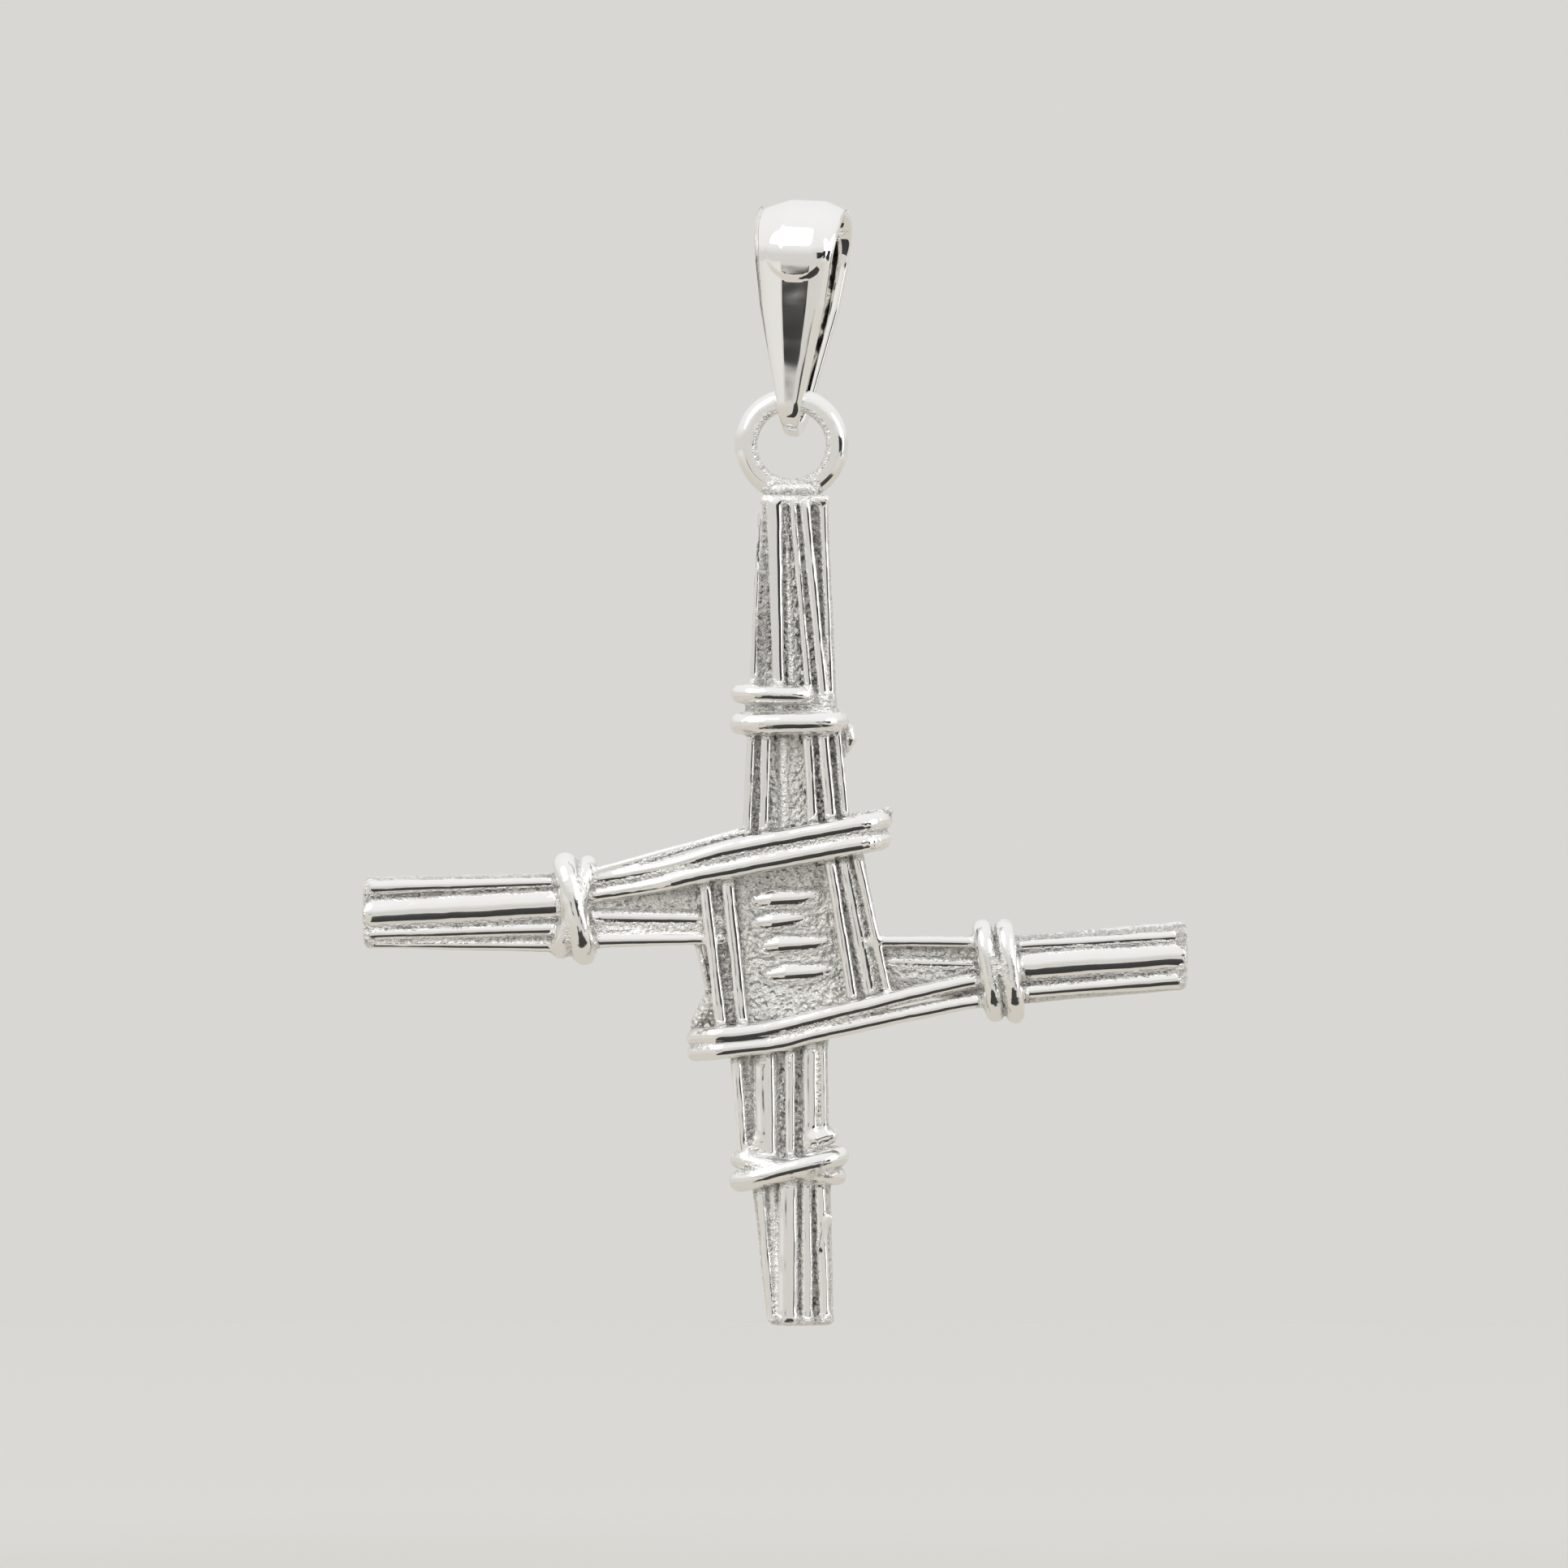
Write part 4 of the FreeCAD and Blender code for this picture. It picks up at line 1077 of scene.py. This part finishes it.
@dataclass(frozen=True)
class SandyCast:
    """The sandy skin of a casting where no tool has been: grains and pits, where a mask lets them."""

    name: str = "sandy_cast"
    grain: float = 8000.0
    pits: float = 6000.0
    ragged: float = 9.0
    bowl: float = 1.2
    # The grain values over which the painted shade of the pits rises.
    dark: Pair = (0.5, 0.62)

    def group(self) -> NodeTree:
        """Builds the group: the height of grains and pits, their painted shade, and where they lie.

        The mask's soft border is broken up by the grain: m + ragged * m * (1 - m) * (grain - 0.5).

        Returns:
            The node group.
        """
        inputs = {"Mask": 1.0, "Grain": self.grain, "Pits": self.pits}
        group, nodes, given, result = make_group(self.name, inputs, ("Height", "PitShade", "Skin"))
        place = nodes.add("ShaderNodeTexCoord").outputs["Object"]
        grain = nodes.add("ShaderNodeTexNoise", Vector=place, Scale=given.outputs["Grain"],
                          Detail=3.0, Roughness=0.6)
        pits = nodes.add("ShaderNodeTexVoronoi", {"feature": "SMOOTH_F1"}, Vector=place,
                         Scale=given.outputs["Pits"])
        border = nodes.math("MULTIPLY", given.outputs["Mask"],
                            nodes.math("SUBTRACT", 1.0, given.outputs["Mask"]))
        swing = nodes.math("SUBTRACT", grain.outputs["Fac"], 0.5)
        swing = nodes.math("MULTIPLY", swing, self.ragged)
        broken = nodes.math("MULTIPLY", border, swing)
        skin = nodes.math("ADD", given.outputs["Mask"], broken, clamp=True)
        bowl = nodes.math("MULTIPLY", pits.outputs["Distance"], self.bowl)
        both = nodes.math("ADD", grain.outputs["Fac"], bowl)
        height = nodes.math("MULTIPLY", both, skin)
        # Painted shade in the grain: more where the grain is high; the silver darkens with it only in
        # hollows.
        depth = nodes.add("ShaderNodeMapRange", Value=grain.outputs["Fac"], From_Min=self.dark[0],
                          From_Max=self.dark[1])
        dull = nodes.math("MULTIPLY", depth.outputs["Result"], skin)
        nodes.join(height, result.inputs["Height"])
        nodes.join(dull, result.inputs["PitShade"])
        nodes.join(skin, result.inputs["Skin"])
        return group


@dataclass(frozen=True)
class HandPolish:
    """The slight unevenness that hand polishing leaves: soft waves, and duller patches."""

    name: str = "hand_polish"
    waves: float = 900.0
    patches: float = 500.0

    def group(self) -> NodeTree:
        """Builds the group: the height of the waves, and how worn the polish is.

        Returns:
            The node group.
        """
        inputs = {"Waves": self.waves, "Patches": self.patches}
        group, nodes, given, result = make_group(self.name, inputs, ("Height", "Wear"))
        place = nodes.add("ShaderNodeTexCoord").outputs["Object"]
        waves = nodes.add("ShaderNodeTexNoise", Vector=place, Scale=given.outputs["Waves"],
                          Detail=1.0)
        patches = nodes.add("ShaderNodeTexNoise", Vector=place, Scale=given.outputs["Patches"],
                            Detail=4.0)
        nodes.join(waves.outputs["Fac"], result.inputs["Height"])
        nodes.join(patches.outputs["Fac"], result.inputs["Wear"])
        return group


@dataclass(frozen=True)
class Silver:
    """A silver finish: its colours, how bright the polish is and how deep the sandy skin."""

    name: str
    bright: Colour = (0.93, 0.92, 0.905, 1.0)
    sandy: Colour = (0.92, 0.91, 0.885, 1.0)
    # The dark tone that painted shade pulls the colour towards in the hollows.
    deep: Colour = (0.15, 0.145, 0.14, 1.0)
    polish: float = 0.06
    matt: float = 0.2
    wear: float = 0.06
    hollow_grain: float = 0.6
    # Strength of the painted shade in hollows: an extra share in the pits, and a plain share.
    pit_shade: float = 0.85
    plain_shade: float = 0.12
    grain_depth: float = 0.00012
    wave_depth: float = 0.00002

    def material(self, sandy: NodeTree, polish: NodeTree) -> Material:
        """Builds the material from the two shared effects and the piece's own masks.

        Args:
            sandy: The group of the sandy skin.
            polish: The group of the hand polish.

        Returns:
            The material.
        """
        silver, nodes, shader = make_material(self.name)
        shader.inputs["Metallic"].default_value = 1.0
        frost = nodes.add("ShaderNodeAttribute", {"attribute_name": "frost"}).outputs["Fac"]
        hollow = nodes.add("ShaderNodeAttribute", {"attribute_name": "hollow"}).outputs["Fac"]
        grainy = nodes.math("MULTIPLY", hollow, self.hollow_grain)
        mask = nodes.math("MAXIMUM", frost, grainy, clamp=True)
        skin = nodes.add("ShaderNodeGroup", {"node_tree": sandy}, Mask=mask)
        worn = nodes.add("ShaderNodeGroup", {"node_tree": polish})
        tone = nodes.mix(skin.outputs["Skin"], self.bright, self.sandy)
        # Painted shade: the hollow mask, stronger in the pits, darkens the colour towards the deep
        # tone.
        shade_strength = nodes.math("MULTIPLY", skin.outputs["PitShade"], self.pit_shade)
        shade_strength = nodes.math("ADD", shade_strength, self.plain_shade)
        painted_shade = nodes.math("MULTIPLY", hollow, shade_strength, clamp=True)
        nodes.join(nodes.mix(painted_shade, tone, self.deep), shader.inputs["Base Color"])
        wear = nodes.math("MULTIPLY", worn.outputs["Wear"], self.wear)
        gloss = nodes.math("ADD", wear, self.polish)
        dull = nodes.math("MULTIPLY", skin.outputs["Skin"], self.matt)
        nodes.join(nodes.math("ADD", gloss, dull), shader.inputs["Roughness"])
        fine = nodes.add("ShaderNodeBump", Height=skin.outputs["Height"], Distance=self.grain_depth)
        broad = nodes.add("ShaderNodeBump", Height=worn.outputs["Height"], Distance=self.wave_depth,
                          Normal=fine.outputs["Normal"])
        nodes.join(broad.outputs["Normal"], shader.inputs["Normal"])
        return silver


@dataclass(frozen=True)
class Lamp:
    """A round soft light: its place and width in metres and its power in watts."""

    name: str
    place: Triple
    size: float
    power: float

    def hang(self, target: Triple) -> None:
        """Adds the light, turned to face a point.

        Args:
            target: The point, in metres.
        """
        light = bpy.data.lights.new(self.name, "AREA")
        light.shape = "DISK"
        light.size = self.size
        light.energy = self.power
        lamp = bpy.data.objects.new(self.name, light)
        bpy.context.scene.collection.objects.link(lamp)
        lamp.location = self.place
        aim = Vector(target) - lamp.location
        lamp.rotation_euler = aim.to_track_quat("-Z", "Y").to_euler()


@dataclass(frozen=True)
class Card:
    """A card that only reflections see: one corner, the ways along its two sides, and its tone."""

    name: str
    corner: Triple
    width: Triple
    height: Triple
    tone: float
    roughness: float = 0.9

    def stand(self) -> None:
        """Adds the card as a single face."""
        start, along, up = np.array(self.corner), np.array(self.width), np.array(self.height)
        points = np.array([start, start + along, start + along + up, start + up])
        card = make_mesh(self.name, points, np.array([[0, 3, 2, 1]]), {})
        paint, _, shader = make_material(self.name)
        shader.inputs["Base Color"].default_value = (self.tone, self.tone, self.tone, 1.0)
        shader.inputs["Roughness"].default_value = self.roughness
        card.data.materials.append(paint)
        card.visible_camera = False
        card.visible_diffuse = False
        card.visible_shadow = False


@dataclass
class Studio:
    """The plain pale floor, the soft lights, the cards that only reflections see, and the camera."""

    photo_width: float = 50.18
    middle: Pair = (-0.653, -18.165)
    distance: float = 0.35
    sensor: float = 36.0
    clip: Pair = (0.01, 5.0)
    floor_drop: float = 0.06
    floor_radius: float = 0.5
    floor_hole: float = 0.0005
    floor_rings: int = 12
    floor_spokes: int = 96
    near_floor: Colour = (0.62, 0.585, 0.52, 1.0)
    far_floor: Colour = (0.725, 0.715, 0.691, 1.0)
    under: Colour = (0.45, 0.42, 0.35, 1.0)
    level: Colour = (0.69, 0.68, 0.655, 1.0)
    high: Colour = (0.88, 0.88, 0.87, 1.0)
    above: Colour = (0.95, 0.95, 0.95, 1.0)
    fade: Pair = (0.14, 0.3)
    mottle: Pair = (25.0, 0.2)
    horizon: Pair = (0.46, 0.54)
    high_place: float = 0.66
    roughness: float = 0.9
    lamps: tuple[Lamp, ...] = (
        Lamp("key", (-0.25, -0.3, 0.3), 0.42, 0.45),
        Lamp("fill", (0.35, -0.2, 0.1), 0.3, 0.2),
    )
    cards: tuple[Card, ...] = (
        Card("floor_card", (-0.022, -0.155, -0.0595), (0.092, 0.0, 0.0), (0.0, 0.126, 0.0), 0.02),
        Card("white_card", (-0.15, -0.16, -0.0595), (0.3, 0.0, 0.0), (0.0, 0.0, 0.045), 0.88),
        Card("strip_card", (-0.06, -0.12, -0.0351), (0.034, 0.0, 0.0), (0.0, 0.0, 0.0048), 0.02),
        Card("side_card", (0.105, -0.3, -0.08), (0.145, 0.125, 0.0), (0.0, 0.0, 0.115), 0.02),
    )

    def floor(self) -> None:
        """Makes the floor: a round plate of rings about its middle, at r cos(a) and r sin(a).

        It is warm under the pendant and fades to a paler tone further off.
        """
        rings, spokes = self.floor_rings, self.floor_spokes
        radius = np.linspace(self.floor_hole, self.floor_radius, rings)[:, None]
        angle = np.linspace(0.0, 2 * math.pi, spokes, endpoint=False)[None, :]
        points = np.stack([radius * np.cos(angle), radius * np.sin(angle),
                           np.full((rings, spokes), -self.floor_drop)], axis=-1).reshape(-1, 3)
        row, column = np.arange(rings - 1)[:, None], np.arange(spokes)[None, :]
        beside = (column + 1) % spokes
        faces = np.stack([row * spokes + column, (row + 1) * spokes + column,
                          (row + 1) * spokes + beside, row * spokes + beside], axis=-1).reshape(-1, 4)
        floor = make_mesh("floor", points, faces, {})
        paint, nodes, shader = make_material("pale_floor")
        shader.inputs["Roughness"].default_value = self.roughness
        place = nodes.add("ShaderNodeTexCoord").outputs["Object"]
        mottle = nodes.add("ShaderNodeTexNoise", Vector=place, Scale=self.mottle[0], Detail=4.0)
        away = nodes.add("ShaderNodeVectorMath", {"operation": "LENGTH"}, i0=place).outputs["Value"]
        fade = nodes.add("ShaderNodeMapRange", Value=away, From_Min=self.fade[0],
                         From_Max=self.fade[1])
        patches = nodes.math("MULTIPLY", mottle.outputs["Fac"], self.mottle[1])
        share = nodes.math("ADD", fade.outputs["Result"], patches, clamp=True)
        nodes.join(nodes.mix(share, self.near_floor, self.far_floor), shader.inputs["Base Color"])
        floor.data.materials.append(paint)

    def world(self) -> None:
        """Makes the surroundings: pale above, a little darker and warmer towards the floor."""
        world = bpy.data.worlds.new("soft_tent")
        bpy.context.scene.world = world
        world.use_nodes = True
        nodes = Nodes(world.node_tree)
        ground = world.node_tree.nodes["Background"]
        heading = nodes.add("ShaderNodeTexCoord").outputs["Generated"]
        height = nodes.add("ShaderNodeSeparateXYZ", Vector=heading).outputs["Z"]
        scale = nodes.add("ShaderNodeMapRange", Value=height, From_Min=-1.0, From_Max=1.0)
        ramp = nodes.add("ShaderNodeValToRGB", Fac=scale.outputs["Result"])
        ramp.color_ramp.elements[0].color = self.under
        ramp.color_ramp.elements[1].color = self.above
        for place, colour in ((self.horizon[0], self.level), (self.horizon[1], self.level),
                              (self.high_place, self.high)):
            ramp.color_ramp.elements.new(place).color = colour
        nodes.join(ramp.outputs["Color"], ground.inputs["Color"])
        ground.inputs["Strength"].default_value = 1.0

    def camera(self) -> None:
        """Stands the camera square in front, at the photograph's framing."""
        data = bpy.data.cameras.new("camera")
        data.sensor_width = self.sensor
        data.lens = self.sensor * self.distance / (self.photo_width * MM)
        data.clip_start, data.clip_end = self.clip
        camera = bpy.data.objects.new("camera", data)
        bpy.context.scene.collection.objects.link(camera)
        camera.location = (self.middle[0] * MM, -self.distance, self.middle[1] * MM)
        camera.rotation_euler = (math.pi / 2, 0.0, 0.0)
        bpy.context.scene.camera = camera

    def build(self) -> None:
        """Sets up the whole stage."""
        self.floor()
        self.world()
        for lamp in self.lamps:
            lamp.hang((self.middle[0] * MM, 0.0, self.middle[1] * MM))
        for card in self.cards:
            card.stand()
        self.camera()
        bpy.context.scene.view_settings.view_transform = "Standard"


def main() -> None:
    """Builds the stage, the casting and the bail, and reports the casting and the bail."""
    logging.basicConfig(level=logging.INFO)
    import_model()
    Studio().build()
    sandy, polish = SandyCast().group(), HandPolish().group()
    casting = Casting()
    casting.dress(casting.build(), Silver("cast_silver").material(sandy, polish))
    bail = Bail()
    mirror = Silver("polished_silver", polish=0.02, wave_depth=0.000004)
    bail.dress(bail.build(), mirror.material(sandy, polish))


if __name__ == "__main__":
    main()
